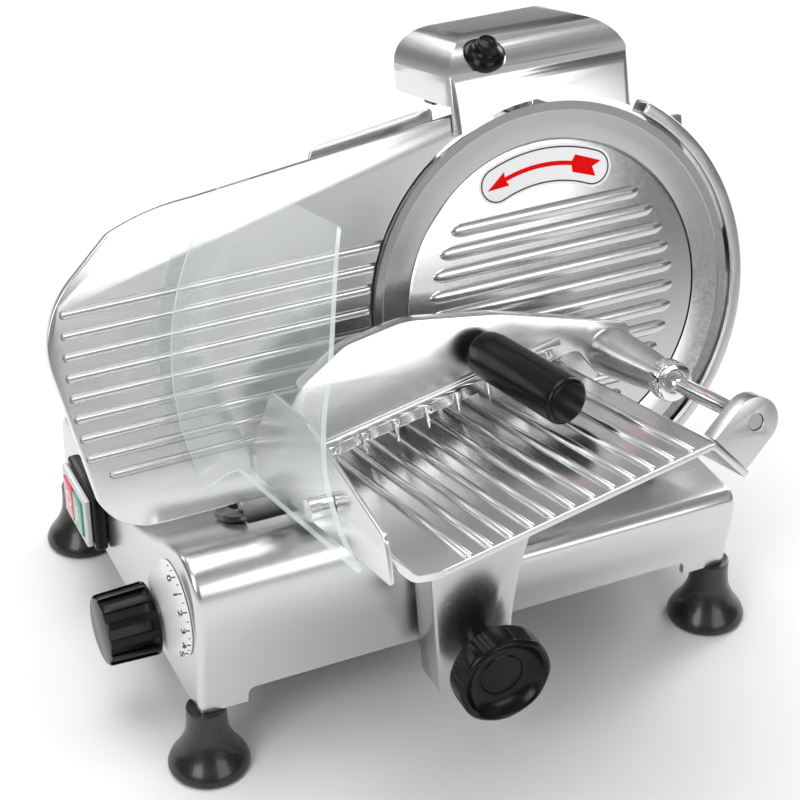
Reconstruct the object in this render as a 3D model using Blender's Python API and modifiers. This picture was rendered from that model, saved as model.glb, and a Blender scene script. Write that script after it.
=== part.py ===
"""Deli meat slicer: an inclined-blade gravity slicer with a sliding food carriage.

The machine stands on four feet.  +X runs along the carriage's travel, +Y to the rear and +Z up.
The blade, gauge plate, carriage and sharpener lean back together, so they are modelled in the
blade's own frame: x along the travel, d square to the blade and away from the user, u up in its plane.
"""
import math

import bmesh
import bpy
from mathutils import Matrix, Vector

MM = 0.001
GAP = 0.3

# Driving dimensions, in millimetres, measured from the middle of the four feet on the table.
BOX_CENTRE_X = -5.0
BOX_CENTRE_Y = -63.73
FOOT_X = 180.0
FOOT_Y = 129.0
FOOT_HEIGHT = 47.5
FOOT_RIM_RADIUS = 26.0
BASE_LEFT = -187.0
BASE_RIGHT = 187.0
BASE_FRONT = -143.5
BASE_REAR = 138.0
BASE_BOTTOM = 48.0
BASE_TOP = 109.0
HUMP_TOP = 156.0
WALL = 4.0

TILT = math.radians(15.6)
BLADE_CENTRE = Vector((91.0, -61.0, 236.0))
BLADE_RADIUS = 125.0
COVER_RADIUS = 101.0
GUARD_INNER = 127.5
GUARD_OUTER = 136.0

GAUGE_TRAVEL = 14.0
GAUGE_TURN = math.radians(270.0)
INDEX_Y = -62.0
INDEX_Z = 71.0
GROOVE_LOW = -44.0
GROOVE_PITCH = 12.8
GUIDE_X = (-230.0, -186.0)

TRAY_SLOPE = math.radians(10.2)
TRAY_FRONT = -210.0
TRAY_BACK = -12.0
TRAY_LEFT = -204.8
TRAY_RIDGE = -18.8
TRAY_TOP = -31.2
TRAY_THICK = 4.0
ROD_X = 15.4
ROD_U = -30.0
ROD_RADIUS = 5.0
SLIDE_ROD_Y = -118.0
SLIDE_ROD_Z = 80.0

PULLEY_D = 64.0
MOTOR_X = 40.0
MOTOR_U = -92.0
DRIVEN_RADIUS = 42.0
MOTOR_PULLEY_RADIUS = 12.0

STONE_U = 152.0
STONES = (("grinding", -24.0), ("truing", 38.0))
HOOD_X = (-61.0, 63.6)
HOOD_D = (-4.0, 84.0)
HOOD_TOP = 172.0
HOOD_KNOB = (-31.5, 3.6, 160.6)
KNOB_LEAN = math.radians(38.0)

for old in list(bpy.data.objects):
    bpy.data.objects.remove(old, do_unlink=True)

PARTS = bpy.data.collections.new("deli_meat_slicer")
CUTTERS = bpy.data.collections.new("cutters")
bpy.context.scene.collection.children.link(PARTS)
bpy.context.scene.collection.children.link(CUTTERS)

WORLD = Matrix.Identity(4)
BLADE = Matrix.Translation(BLADE_CENTRE * MM) @ Matrix.Rotation(-TILT, 4, "X")
TRAY = BLADE @ Matrix.Rotation(-TRAY_SLOPE, 4, "Y")
SHIFT = Matrix.Translation(Vector((-BOX_CENTRE_X, -BOX_CENTRE_Y, 0.0)) * MM)

FINISHES = {
    "cast": ((0.74, 0.75, 0.76), 0.34, 1.0),
    "plate": ((0.82, 0.83, 0.84), 0.28, 1.0),
    "steel": ((0.80, 0.80, 0.81), 0.18, 1.0),
    "chrome": ((0.88, 0.88, 0.89), 0.08, 1.0),
    "black": ((0.012, 0.012, 0.013), 0.22, 0.0),
    "rubber": ((0.02, 0.02, 0.022), 0.6, 0.0),
    "clear": ((0.92, 0.94, 0.95), 0.04, 0.0),
    "white": ((0.9, 0.9, 0.9), 0.4, 0.0),
    "red": ((0.62, 0.03, 0.04), 0.3, 0.0),
    "green": ((0.02, 0.30, 0.16), 0.3, 0.0),
    "stone": ((0.55, 0.40, 0.34), 0.9, 0.0),
    "nylon": ((0.85, 0.84, 0.80), 0.5, 0.0),
    "dark": ((0.09, 0.09, 0.10), 0.45, 0.6),
}


def material(finish):
    """A Principled material of one finish, made once."""
    found = bpy.data.materials.get(finish)
    if found:
        return found
    color, roughness, metallic = FINISHES[finish]
    made = bpy.data.materials.new(finish)
    made.use_nodes = True
    shader = made.node_tree.nodes["Principled BSDF"]
    shader.inputs["Base Color"].default_value = (*color, 1.0)
    shader.inputs["Roughness"].default_value = roughness
    shader.inputs["Metallic"].default_value = metallic
    if finish == "clear":
        shader.inputs["Alpha"].default_value = 0.3
    return made


def finish_object(name, mesh, frame, finish, cutter=False, at=(0, 0, 0)):
    """Wrap a mesh in an object whose origin is the point `at` (mm) of its frame."""
    mesh.transform(Matrix.Translation(-Vector(at) * MM))
    obj = bpy.data.objects.new(name, mesh)
    obj.matrix_world = SHIFT @ frame @ Matrix.Translation(Vector(at) * MM)
    if cutter:
        CUTTERS.objects.link(obj)
        obj.hide_render = True
        obj.display_type = "WIRE"
    else:
        PARTS.objects.link(obj)
        mesh.materials.append(material(finish))
    return obj


def mesh_from(bm, name):
    """Turn a bmesh into a mesh with its faces pointing out, smooth on its round sides."""
    bmesh.ops.recalc_face_normals(bm, faces=bm.faces[:])
    mesh = bpy.data.meshes.new(name)
    bm.to_mesh(mesh)
    bm.free()
    mesh.shade_smooth()
    mesh.set_sharp_from_angle(angle=math.radians(35))
    return mesh


def box(name, low, high, frame=WORLD, finish="cast", round_off=0.0, cutter=False, at=None):
    """A box between two corners (mm), with rounded edges where round_off is given."""
    low = Vector(low)
    high = Vector(high)
    bm = bmesh.new()
    size = Matrix.Diagonal(((high - low) * MM).to_4d())
    size[3][3] = 1.0
    bmesh.ops.create_cube(bm, size=1.0, matrix=Matrix.Translation((low + high) / 2 * MM) @ size)
    obj = finish_object(name, mesh_from(bm, name), frame, finish, cutter, at or (low + high) / 2)
    if round_off:
        bevel(obj, round_off)
    return obj


def cylinder(name, centre, radius, low, high, axis="d", frame=BLADE, finish="steel",
             sides=48, cutter=False, tip_radius=None):
    """A cylinder or cone about an axis through centre, from low to high along it (mm)."""
    turn = {"x": Matrix.Rotation(math.pi / 2, 4, "Y"),
            "d": Matrix.Rotation(-math.pi / 2, 4, "X"),
            "u": WORLD}[axis]
    middle = Vector(centre)
    middle["xdu".index(axis)] = (low + high) / 2
    bm = bmesh.new()
    bmesh.ops.create_cone(bm, cap_ends=True, segments=sides, radius1=radius * MM,
                          radius2=(radius if tip_radius is None else tip_radius) * MM,
                          depth=(high - low) * MM)
    bm.transform(Matrix.Translation(middle * MM) @ turn)
    return finish_object(name, mesh_from(bm, name), frame, finish, cutter, middle)


def turned(name, profile, centre=(0, 0, 0), axis="d", frame=BLADE, finish="steel",
           sides=64, cutter=False):
    """A turned solid: a closed (radius, along) profile, or an open one that meets the axis, in mm."""
    turn = {"x": Matrix.Rotation(math.pi / 2, 4, "Y"),
            "d": Matrix.Rotation(-math.pi / 2, 4, "X"),
            "u": WORLD}[axis]
    closed = min(r for r, _ in profile) > 0
    bm = bmesh.new()
    points = [bm.verts.new((r * MM, 0, along * MM)) for r, along in profile]
    pairs = list(zip(points, points[1:]))
    if closed:
        pairs.append((points[-1], points[0]))
    for first, second in pairs:
        bm.edges.new((first, second))
    bmesh.ops.spin(bm, geom=bm.verts[:] + bm.edges[:], cent=(0, 0, 0), axis=(0, 0, 1),
                   angle=2 * math.pi, steps=sides, use_merge=True)
    bmesh.ops.remove_doubles(bm, verts=bm.verts[:], dist=1e-6)
    bm.transform(Matrix.Translation(Vector(centre) * MM) @ turn)
    return finish_object(name, mesh_from(bm, name), frame, finish, cutter, centre)


def prism(name, outline, low, high, axis="d", frame=BLADE, finish="cast", cutter=False, at=None):
    """A flat outline (mm) extruded from low to high along one axis.

    The outline's two coordinates are (x, u) for axis d, (d, u) for axis x and (x, d) for axis u.
    """
    place = {"x": lambda a, b, c: (c, a, b), "d": lambda a, b, c: (a, c, b),
             "u": lambda a, b, c: (a, b, c)}[axis]
    bm = bmesh.new()
    rings = [[bm.verts.new(Vector(place(a, b, c)) * MM) for a, b in outline] for c in (low, high)]
    bm.faces.new(rings[0])
    bm.faces.new(list(reversed(rings[1])))
    count = len(outline)
    for i in range(count):
        j = (i + 1) % count
        bm.faces.new((rings[0][j], rings[0][i], rings[1][i], rings[1][j]))
    middle_a = sum(a for a, _ in outline) / count
    middle_b = sum(b for _, b in outline) / count
    return finish_object(name, mesh_from(bm, name), frame, finish, cutter,
                         at or place(middle_a, middle_b, (low + high) / 2))


def arc(cx, cy, radius, start, stop, steps):
    """Points (mm) along a circle's arc, its angles in degrees."""
    return [(cx + radius * math.cos(math.radians(start + (stop - start) * i / steps)),
             cy + radius * math.sin(math.radians(start + (stop - start) * i / steps)))
            for i in range(steps + 1)]


def fillet(corners, steps=6):
    """A polygon with each (x, y, radius) corner rounded by an arc of its radius."""
    out = []
    count = len(corners)
    for i, (x, y, radius) in enumerate(corners):
        here = Vector((x, y))
        before = (Vector(corners[i - 1][:2]) - here).normalized()
        after = (Vector(corners[(i + 1) % count][:2]) - here).normalized()
        if radius <= 0:
            out.append((x, y))
            continue
        half = before.angle(after) / 2
        centre = here + (before + after).normalized() * radius / math.sin(half)
        first = here + before * radius / math.tan(half) - centre
        last = here + after * radius / math.tan(half) - centre
        sweep = first.angle_signed(last)
        for k in range(steps + 1):
            turned_by = Matrix.Rotation(-sweep * k / steps, 2)
            out.append(tuple(centre + turned_by @ first))
    return out


def bevel(obj, width, segments=3, angle=30.0):
    """Rounded edges, as a modifier (mm)."""
    edge = obj.modifiers.new("rounded", "BEVEL")
    edge.width = width * MM
    edge.segments = segments
    edge.limit_method = "ANGLE"
    edge.angle_limit = math.radians(angle)
    return edge


def combine(obj, other, operation):
    """A Boolean with another object, which becomes a hidden guide."""
    step = obj.modifiers.new(operation.lower(), "BOOLEAN")
    step.object = other
    step.operation = operation
    step.solver = "EXACT"
    return obj


def cut(obj, *cutters):
    for cutter in cutters:
        combine(obj, cutter, "DIFFERENCE")
    return obj


def join(obj, *pieces):
    for piece in pieces:
        combine(obj, piece, "UNION")
    return obj


# ---------------------------------------------------------------- base

def base_section(share):
    """The base's side outline (y, z): share 1 is the humped left part, 0 the low right part."""
    humped = [(-137.0, BASE_BOTTOM), (-139.0, 72.0), (-143.5, 104.0), (-143.5, 128.0),
              (-139.5, 143.0), (-131.0, 153.0), (-118.0, HUMP_TOP), (-99.0, 150.0), (-78.0, 141.0),
              (-57.0, 130.0), (-36.0, 121.0), (-16.0, 114.0), (6.0, 110.0), (40.0, BASE_TOP),
              (100.0, BASE_TOP), (128.0, BASE_TOP - 2.0), (136.0, BASE_TOP - 12.0),
              (BASE_REAR, 76.0), (BASE_REAR, BASE_BOTTOM)]
    low = [(-137.0, BASE_BOTTOM), (-139.0, 66.0), (-142.5, 84.0), (-143.5, 98.0),
           (-142.5, 104.0), (-139.0, 107.5), (-133.0, BASE_TOP), (-110.0, BASE_TOP), (-85.0, BASE_TOP),
           (-60.0, BASE_TOP), (-38.0, BASE_TOP), (-16.0, BASE_TOP), (6.0, BASE_TOP), (40.0, BASE_TOP),
           (100.0, BASE_TOP), (128.0, BASE_TOP - 2.0), (136.0, BASE_TOP - 12.0),
           (BASE_REAR, 76.0), (BASE_REAR, BASE_BOTTOM)]
    return [(a[0] * share + b[0] * (1 - share), a[1] * share + b[1] * (1 - share))
            for a, b in zip(humped, low)]


def make_base():
    """The cast base: an open-bottomed shell lofted from its side outlines."""
    stations = [BASE_LEFT, -100.0] + [-20.0 + 8.0 * i for i in range(7)] + [110.0, BASE_RIGHT]
    bm = bmesh.new()
    rows = []
    for x in stations:
        t = min(max((x + 20.0) / 48.0, 0.0), 1.0)
        share = 1.0 - t * t * (3.0 - 2.0 * t)
        rows.append([bm.verts.new((x * MM, y * MM, z * MM)) for y, z in base_section(share)])
    for left, right in zip(rows, rows[1:]):
        for i in range(len(left) - 1):
            bm.faces.new((left[i], right[i], right[i + 1], left[i + 1]))
    bm.faces.new(rows[0])
    bm.faces.new(list(reversed(rows[-1])))
    mesh = mesh_from(bm, "base_housing")
    obj = finish_object("base_housing", mesh, WORLD, "cast")
    bevel(obj, 7.0, segments=3, angle=50.0)
    shell = obj.modifiers.new("wall", "SOLIDIFY")
    shell.thickness = WALL * MM
    shell.offset = -1.0
    shell.use_even_offset = True
    cut(obj,
        box("notch_front", (-155, -170, 40), (154, -120, 59), cutter=True),
        box("gauge_slot", (-134, -93, 60), (-97, -50, 180), cutter=True),
        cylinder("index_hole", (0, INDEX_Y, INDEX_Z), 8.0, BASE_LEFT - 10, BASE_LEFT + 10, "x", WORLD,
                 cutter=True),
        box("motor_opening", (42, -40, 90), (172, 73, 130), cutter=True),
        cylinder("gland_hole", (-120, 0, 78), 8.3, BASE_REAR - 10, BASE_REAR + 10, "d", WORLD,
                 cutter=True))
    return obj


def make_feet():
    """Four bell-shaped rubber feet."""
    profile = [(0, FOOT_HEIGHT), (13, FOOT_HEIGHT), (13, 31), (14.5, 25), (19, 16), (24, 8.5),
               (FOOT_RIM_RADIUS, 4), (25.5, 1.2), (24, 0), (0, 0)]
    for side, x in (("left", -FOOT_X), ("right", FOOT_X)):
        for end, y in (("front", -FOOT_Y), ("rear", FOOT_Y)):
            turned(f"foot_{end}_{side}", profile, (x, y, 0), "u", WORLD, "rubber", sides=16)


def make_base_fittings():
    plate = box("bottom_plate", (BASE_LEFT + 6, -98, 51), (BASE_RIGHT - 6, BASE_REAR - 6, 53.5),
                finish="dark")
    cut(plate, box("cam_window", (-171, -90, 40), (-155, -34, 60), cutter=True))
    cylinder("carriage_slide_rod", (0, SLIDE_ROD_Y, SLIDE_ROD_Z), 8.0, BASE_LEFT + WALL + GAP,
             BASE_RIGHT - WALL - GAP, "x", WORLD, "chrome", sides=32)
    # The black rubber seal that the gauge plate's arm passes through, on the hump's rear slope.
    slope = math.atan2(141.0 - 121.0, 42.0)
    seat = Matrix.Translation(Vector((-115.5, -68.0, 136.0)) * MM) @ Matrix.Rotation(-slope, 4, "X")
    ring = fillet([(-29, -27, 20), (29, -27, 20), (29, 25, 20), (-29, 25, 20)], 8)
    seal = prism("slot_seal", ring, 0.6, 5.0, "u", seat, "rubber")
    cut(seal, box("seal_slot", (-134.0, -93, 60), (-97, -50, 220), cutter=True))
    # The inlet for the mains lead, on the rear wall.
    turned("cord_gland", [(4, 126), (8, 126), (8, BASE_REAR + GAP), (12, BASE_REAR + GAP),
                          (12, BASE_REAR + 6), (8, BASE_REAR + 14), (4, BASE_REAR + 14)],
           (-120, 0, 78), "d", WORLD, "black", sides=20)


# ---------------------------------------------------------------- switch and dial

def make_switch():
    face = BASE_LEFT - GAP
    box("switch_box", (face - 9, 36, 56), (face, 92, 100), finish="black", round_off=2.0)
    bezel = box("switch_bezel", (face - 14, 39, 59), (face - 9.3, 89, 97), finish="plate", round_off=1.2)
    cut(bezel, box("bezel_window", (face - 20, 44, 64), (face - 5, 84, 92), cutter=True))
    # The red button stops the motor and the green one starts it.
    box("button_stop", (face - 15.5, 64.5, 64.5), (face - 12.5, 83.5, 91.5), finish="red", round_off=0.8)
    box("button_start", (face - 15.5, 44.5, 64.5), (face - 12.5, 63.5, 91.5), finish="green", round_off=0.8)


def make_index():
    """The thickness knob, its shaft and the spiral cam that moves the gauge plate."""
    face = BASE_LEFT
    dial = [(-52.0, 95.0)] + arc(-104.2, 108.6, 30.6, 50, 238, 20) + [(-84.0, 58.5)]
    prism("dial_plate", dial, face - GAP - 1.2, face - GAP, "x", WORLD, "white")
    flutes = []
    for i in range(48):
        angle = 2 * math.pi * i / 48
        radius = 24.0 - (2.0 if i % 4 == 0 else 0.0)
        flutes.append((INDEX_Y + radius * math.cos(angle), INDEX_Z + radius * math.sin(angle)))
    knob = prism("index_knob", flutes, face - 37.5, face - 4, "x", WORLD, "black",
                 at=(face - 20, INDEX_Y, INDEX_Z))
    bevel(knob, 1.2, 1, 60)
    cut(knob, cylinder("knob_bore", (0, INDEX_Y, INDEX_Z), 6.3, face - 25, face, "x", WORLD, cutter=True))
    shaft = cylinder("index_shaft", (0, INDEX_Y, INDEX_Z), 6.0, face - 24.5, -154, "x", WORLD, "steel",
                     sides=24)
    # The cam's radius falls evenly with its angle, so the plate opens evenly with the dial.
    spiral = []
    steps = 54
    full = math.radians(300)
    start = math.pi - TILT
    for i in range(steps + 1):
        share = i / steps
        angle = start - full * share + math.radians(12)
        radius = 24.0 - GAUGE_TRAVEL * share * full / GAUGE_TURN + 0.6
        radius = min(radius, 24.0)
        spiral.append((INDEX_Y + radius * math.cos(angle), INDEX_Z + radius * math.sin(angle)))
    join(shaft, prism("index_cam", spiral, -167, -159, "x", WORLD, cutter=True))


# ---------------------------------------------------------------- gauge plate

def make_gauge():
    """The grooved gauge plate, its arm, and the slide that it moves on."""
    outline = [(-54.0, 128.3)]
    outline += arc(0, 0, 128.0, 115.0, 219.0, 40)
    outline += [(-240.0, -82.0)]
    outline += arc(-279, -46, 36, 270, 200, 10)
    outline += arc(-270, 33, 58, 190, 130, 12)
    outline += arc(-222, -49, 160, 112, 92, 6)
    plate = prism("gauge_plate", outline, 0.3, 6.3, "d", BLADE, "plate")
    for i in range(9):
        u = GROOVE_LOW + GROOVE_PITCH * i
        left = -326.0 + 0.0016 * (u - 20.0) ** 2 + (12.0 if u < -50 else 0.0)
        cut(plate, box(f"groove_{i}", (left + 7, -2, u - 2.4), (-60, 1.9, u + 2.4), BLADE, cutter=True))
    arm = box("gauge_arm", (-224, 6.6, -150), (-193, 14.6, -24), BLADE, "cast")
    bevel(arm, 1.0, 2)
    join(arm, box("slide_block", (-239, 18.3, -165), (-176, 44, -120), BLADE, cutter=True),
         box("slide_bridge", (-222, 10, -149), (-195, 22, -122), BLADE, cutter=True),
         box("slide_toe", (-238, 12, -166), (-177, 30, -150.5), BLADE, cutter=True),
         cylinder("cam_follower", (0, 15.6, -159), 3.6, -256, -230, "x", BLADE, cutter=True, sides=24))
    cut(arm, *[cylinder(f"slide_bore_{i}", (x, 0, -134), 4.4, 5, 60, cutter=True, sides=24)
               for i, x in enumerate(GUIDE_X)])
    # Two guide rods between front lugs and a rear plate, clear of the carriage block below.
    guide = box("gauge_guide_frame", (-242, 58.5, -148), (-174, 62.5, -115), BLADE, "dark")
    for i, x in enumerate(GUIDE_X):
        low = -242 if x < -200 else -190
        join(guide, box(f"guide_strip_{i}", (low, 14.5, -118), (low + 16, 60, -114.6), BLADE, cutter=True),
             box(f"guide_lug_{i}", (low + 0.4, 14.2, -147), (low + 15.6, 18, -116), BLADE, cutter=True),
             cylinder(f"gauge_rod_{i}", (x, 0, -134), 4.0, 15, 60.5, cutter=True, sides=24))


# ---------------------------------------------------------------- blade head

def make_blade():
    turned("blade", [(125, 0), (125, 0.4), (121.5, 3.4), (108, 9.4), (18, 9.4), (18, 6.5),
                     (101.8, 6.5), (101.8, 3.0)], sides=60, finish="steel")
    turned("blade_hub", [(7.5, 6.9), (17.6, 6.9), (17.6, 9.7), (34, 9.7), (34, 14), (14, 14),
                         (14, 96), (7.5, 96)], finish="steel", sides=20)
    ridges = [(DRIVEN_RADIUS, PULLEY_D - 1)]
    ridges += [(DRIVEN_RADIUS - 2, PULLEY_D + 1), (DRIVEN_RADIUS - 2, PULLEY_D + 13)]
    ridges += [(DRIVEN_RADIUS, PULLEY_D + 14), (22, PULLEY_D + 14), (22, PULLEY_D + 18)]
    ridges += [(14.3, PULLEY_D + 18), (14.3, PULLEY_D - 1)]
    turned("driven_pulley", ridges, finish="cast", sides=24)
    for name, low in (("bearing_front", 20.0), ("bearing_rear", 46.0)):
        turned(name, [(14.3, low), (24, low), (24, low + 12), (14.3, low + 12)], finish="chrome", sides=24)
    cover = turned("blade_cover", [(0, 3.0), (99.5, 3.0), (COVER_RADIUS, 3.6), (COVER_RADIUS, 6.1), (0, 6.1)],
                   finish="plate", sides=64)
    for i in range(11):
        u = 56.0 - 13.2 * i
        half = math.sqrt(87.0 ** 2 - u ** 2)
        rib = [(x * half, u + y, 3.9) for x, y in ((-1, -4.1), (1, -4.1), (1, 4.1), (-1, 4.1))]
        join(cover, prism(f"cover_rib_{i}", fillet(rib, 2), 1.1, 4.0, "d", BLADE, cutter=True))
    cylinder("cover_tie_rod", (0, 0, 0), 6.0, 6.4, 170, finish="chrome", sides=24)
    turned("cover_knob", [(0, 196), (16, 196), (19, 193), (19, 180), (12, 175), (10, 170.4), (0, 170.4)],
           finish="black", sides=28)


def make_head():
    """The head casting that carries the blade, with its ring guard and the drive housing behind."""
    disc = cylinder("head_casting", (0, 0, 0), 118, 14.6, 20, finish="cast", sides=48)
    join(disc, box("pedestal", (-60, 14.6, -150), (92, 20, -30), BLADE, cutter=True),
         cylinder("bearing_boss", (0, 0, 0), 31, 18, 62, cutter=True),
         box("ring_lug_top", (72, 14.6, 70), (108, 20, 96), BLADE, cutter=True),
         box("ring_lug_side", (100, 14.6, -14), (134, 20, 14), BLADE, cutter=True),
         box("ring_lug_low", (80, 14.6, -100), (104, 20, -76), BLADE, cutter=True))
    cut(disc, cylinder("boss_bore", (0, 0, 0), 24.3, 10, 70, cutter=True),
        box("below_base_top", (-200, -200, 0), (400, 300, BASE_TOP + GAP), cutter=True))
    ring = arc(0, 0, GUARD_OUTER, -62, 56, 36) + arc(0, 0, GUARD_INNER, 56, -62, 36)
    guard = prism("guard_ring", ring, -2.0, 14.3, "d", BLADE, "cast")
    outer = fillet([(-60, -220, 12), (92, -220, 12), (92, 66, 26), (-60, 66, 26)], 6)
    inner = fillet([(-56, -216, 8), (88, -216, 8), (88, 62, 22), (-56, 62, 22)], 6)
    shell = prism("drive_housing", outer, 0, 166, "d", BLADE, "cast")
    bevel(shell, 12.0, 4, 50)
    cut(shell, prism("housing_hollow", inner, -10, 162, "d", BLADE, cutter=True),
        box("housing_front", (-100, -20, -260), (150, 20.3, 100), BLADE, cutter=True),
        box("housing_below", (-200, -200, -100), (400, 300, BASE_TOP + GAP), cutter=True),
        cylinder("rod_outlet", (0, 0, 0), 10.6, 100, 200, cutter=True, sides=32))
    sheet = fillet([(-146, 120.3, 8), (-62, 131, 3), (-62, -70, 3), (-146, -70, 14)], 5)
    prism("slice_deflector", sheet, 21.6, 24.6, "d", BLADE, "plate")


def make_drive():
    """The motor, its pulley and the belt to the blade's pulley."""
    motor = cylinder("motor", (MOTOR_X, 0, MOTOR_U), 38, PULLEY_D + 22, 156, finish="dark", sides=40)
    cut(motor, cylinder("motor_bore", (MOTOR_X, 0, MOTOR_U), 5.3, 60, 170, cutter=True, sides=24))
    small = MOTOR_PULLEY_RADIUS
    turned("motor_pulley", [(0, PULLEY_D), (small, PULLEY_D), (small - 2, PULLEY_D + 1),
                            (small - 2, PULLEY_D + 13), (small, PULLEY_D + 14), (5, PULLEY_D + 14),
                            (5, 159), (0, 159)],
           (MOTOR_X, 0, MOTOR_U), finish="steel", sides=16)
    belt = belt_loop(DRIVEN_RADIUS - 1.6, MOTOR_PULLEY_RADIUS - 1.6, 2.2)
    ring = prism("drive_belt", belt[0], PULLEY_D + 1.6, PULLEY_D + 12.6, "d", BLADE, "rubber")
    cut(ring, prism("belt_inside", belt[1], PULLEY_D - 5, PULLEY_D + 20, "d", BLADE, cutter=True))


def belt_loop(large, small, thick):
    """The belt's outer and inner outlines round the two pulleys (mm)."""
    apart = math.hypot(MOTOR_X, MOTOR_U)
    along = math.degrees(math.atan2(MOTOR_U, MOTOR_X))
    wrap = math.degrees(math.acos((large - small) / apart))
    loops = []
    for extra in (thick, 0.0):
        loop = arc(0, 0, large + extra, along + wrap, along + 360 - wrap, 26)
        loop += arc(MOTOR_X, MOTOR_U, small + extra, along - wrap, along + wrap, 10)
        loops.append(loop)
    return loops


# ---------------------------------------------------------------- carriage

def make_carriage():
    block = box("carriage_slide", (-56, -131, 62), (26, -105, 98), finish="cast", round_off=2.0)
    profile = [(-150.3, 44), (-107, 44), (-107, 70), (-129, 70), (-129, 50), (-150.3, 50)]
    join(block, prism("carriage_stem", profile, -34, 4, "x", WORLD, cutter=True))
    cut(block, cylinder("block_bore", (0, SLIDE_ROD_Y, SLIDE_ROD_Z), 8.3, -80, 60, "x", WORLD,
                        cutter=True, sides=32))
    outline = [(-44, 46), (5, 46), (5, 92), (7, 111), (11, 134), (16, 153), (24, 175), (36, 200),
               (50, 225), (62, 246), (-60, 246), (-57, 214), (-51, 138)]
    arm = prism("support_arm", outline, -179.0, -150.6, "d", WORLD, "cast")
    bevel(arm, 2.0, 2, 60)
    inner = [(-39, 40), (0, 40), (0, 92), (2, 111), (6, 134), (11, 153), (19, 175), (30, 199),
             (30, 204), (-50, 190), (-46, 138)]
    cut(arm, prism("arm_hollow", inner, -174, -140, "d", WORLD, cutter=True),
        box("tray_underside", (-400, -300, TRAY_TOP - TRAY_THICK - 3 * GAP), (300, 100, 200), TRAY,
            cutter=True),
        cylinder("stud_hole", (-15, 0, 72), 4.6, -190, -160, "d", WORLD, cutter=True, sides=24))
    web = box("arm_foot", (-41.5, -176.5, 46.6), (2.5, -151.4, 50.2), cutter=True)
    join(arm, web)


def make_tray():
    """The ribbed food tray with its turned-down right edge, its side fence and the clear guard."""
    left = [(TRAY_LEFT - 8.5, TRAY_TOP + 13.5), (TRAY_LEFT - 11.8, TRAY_TOP + 11.2),
            (TRAY_LEFT - 2.6, TRAY_TOP - TRAY_THICK)]
    right = [(TRAY_RIDGE - 2.2, TRAY_TOP - TRAY_THICK), (TRAY_RIDGE + 12.4, TRAY_TOP - 28.6),
             (TRAY_RIDGE + 15.9, TRAY_TOP - 26.4), (TRAY_RIDGE, TRAY_TOP)]
    tray = prism("food_tray", left + right + [(TRAY_LEFT, TRAY_TOP)], TRAY_FRONT, TRAY_BACK, "d", TRAY,
                 "plate")
    pitch = 14.0
    for i in range(11):
        x = TRAY_RIDGE - 16.0 - pitch * i
        slab = box(f"tray_rib_{i}", (x - 2.2, TRAY_FRONT + 4, TRAY_TOP - 1.5),
                   (x + 2.2, TRAY_BACK - 4, TRAY_TOP + 1.6), TRAY, cutter=True)
        join(tray, slab)
    fence = fillet([(210, -66, 3), (209, -38, 6), (160, -20, 20), (110, -2, 20), (52, 1, 8),
                    (7, -44, 6), (7, -66, 3)], 4)
    prism("side_fence", [(-w, u) for w, u in fence], -214.4, -211.4, "x", BLADE, "plate")
    make_finger_guard()
    turned("guard_boss", [(0, -214.7), (6.0, -214.7), (6.0, -224), (6.6, -224), (6.6, -229.4), (0, -229.4)],
           (0, -136, -42), "x", BLADE, "chrome", sides=32)


def make_finger_guard():
    """A clear sheet rolled about the travel's direction, with a flange facing the gauge plate."""
    centre_x = -86.0
    radius = 154.0
    thick = 3.0
    steps = 22
    bm = bmesh.new()
    rows = []
    for i in range(steps + 1):
        angle = math.radians(133.0 + (201.0 - 133.0) * i / steps)
        u = radius * math.sin(angle)
        above = max(u - 50.0, 0.0)
        front = 200.0 + 0.10 * max(-u, 0.0) - 0.0125 * above ** 2 - 0.25 * above
        row = []
        for r, w in ((radius + 20.0, 13.0), (radius + 4.0, 13.0), (radius + 1.2, 14.2), (radius, 17.0),
                     (radius, front)):
            row.append(bm.verts.new(Vector((centre_x + r * math.cos(angle), -w, r * math.sin(angle))) * MM))
        rows.append(row)
    for upper, lower in zip(rows, rows[1:]):
        for i in range(len(upper) - 1):
            bm.faces.new((upper[i], lower[i], lower[i + 1], upper[i + 1]))
    obj = finish_object("finger_guard", mesh_from(bm, "finger_guard"), BLADE, "clear")
    wall = obj.modifiers.new("thickness", "SOLIDIFY")
    wall.thickness = thick * MM
    wall.offset = 0.0
    wall.use_even_offset = True
    return obj


def rod_bracket(name, low, high, sides=32):
    """A D-shaped plate on the tray's turned-down edge that holds one end of the pusher rod."""
    out = Vector((0.755, 0.656))
    along = Vector((-0.656, 0.755))
    centre = Vector((ROD_X, ROD_U))
    foot = centre - out * (24.1 - 1.1)
    half = 14.5
    facing = math.degrees(math.atan2(out.y, out.x))
    outline = [tuple(foot - along * half)]
    outline += arc(centre.x, centre.y, half, facing - 90, facing + 90, 14)
    outline += [tuple(foot + along * half)]
    plate = prism(name, outline, low, high, "d", BLADE, "cast")
    return cut(plate, cylinder(name + "_bore", (ROD_X, 0, ROD_U), ROD_RADIUS + GAP, low - 5, high + 5,
                               cutter=True, sides=sides))


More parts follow.
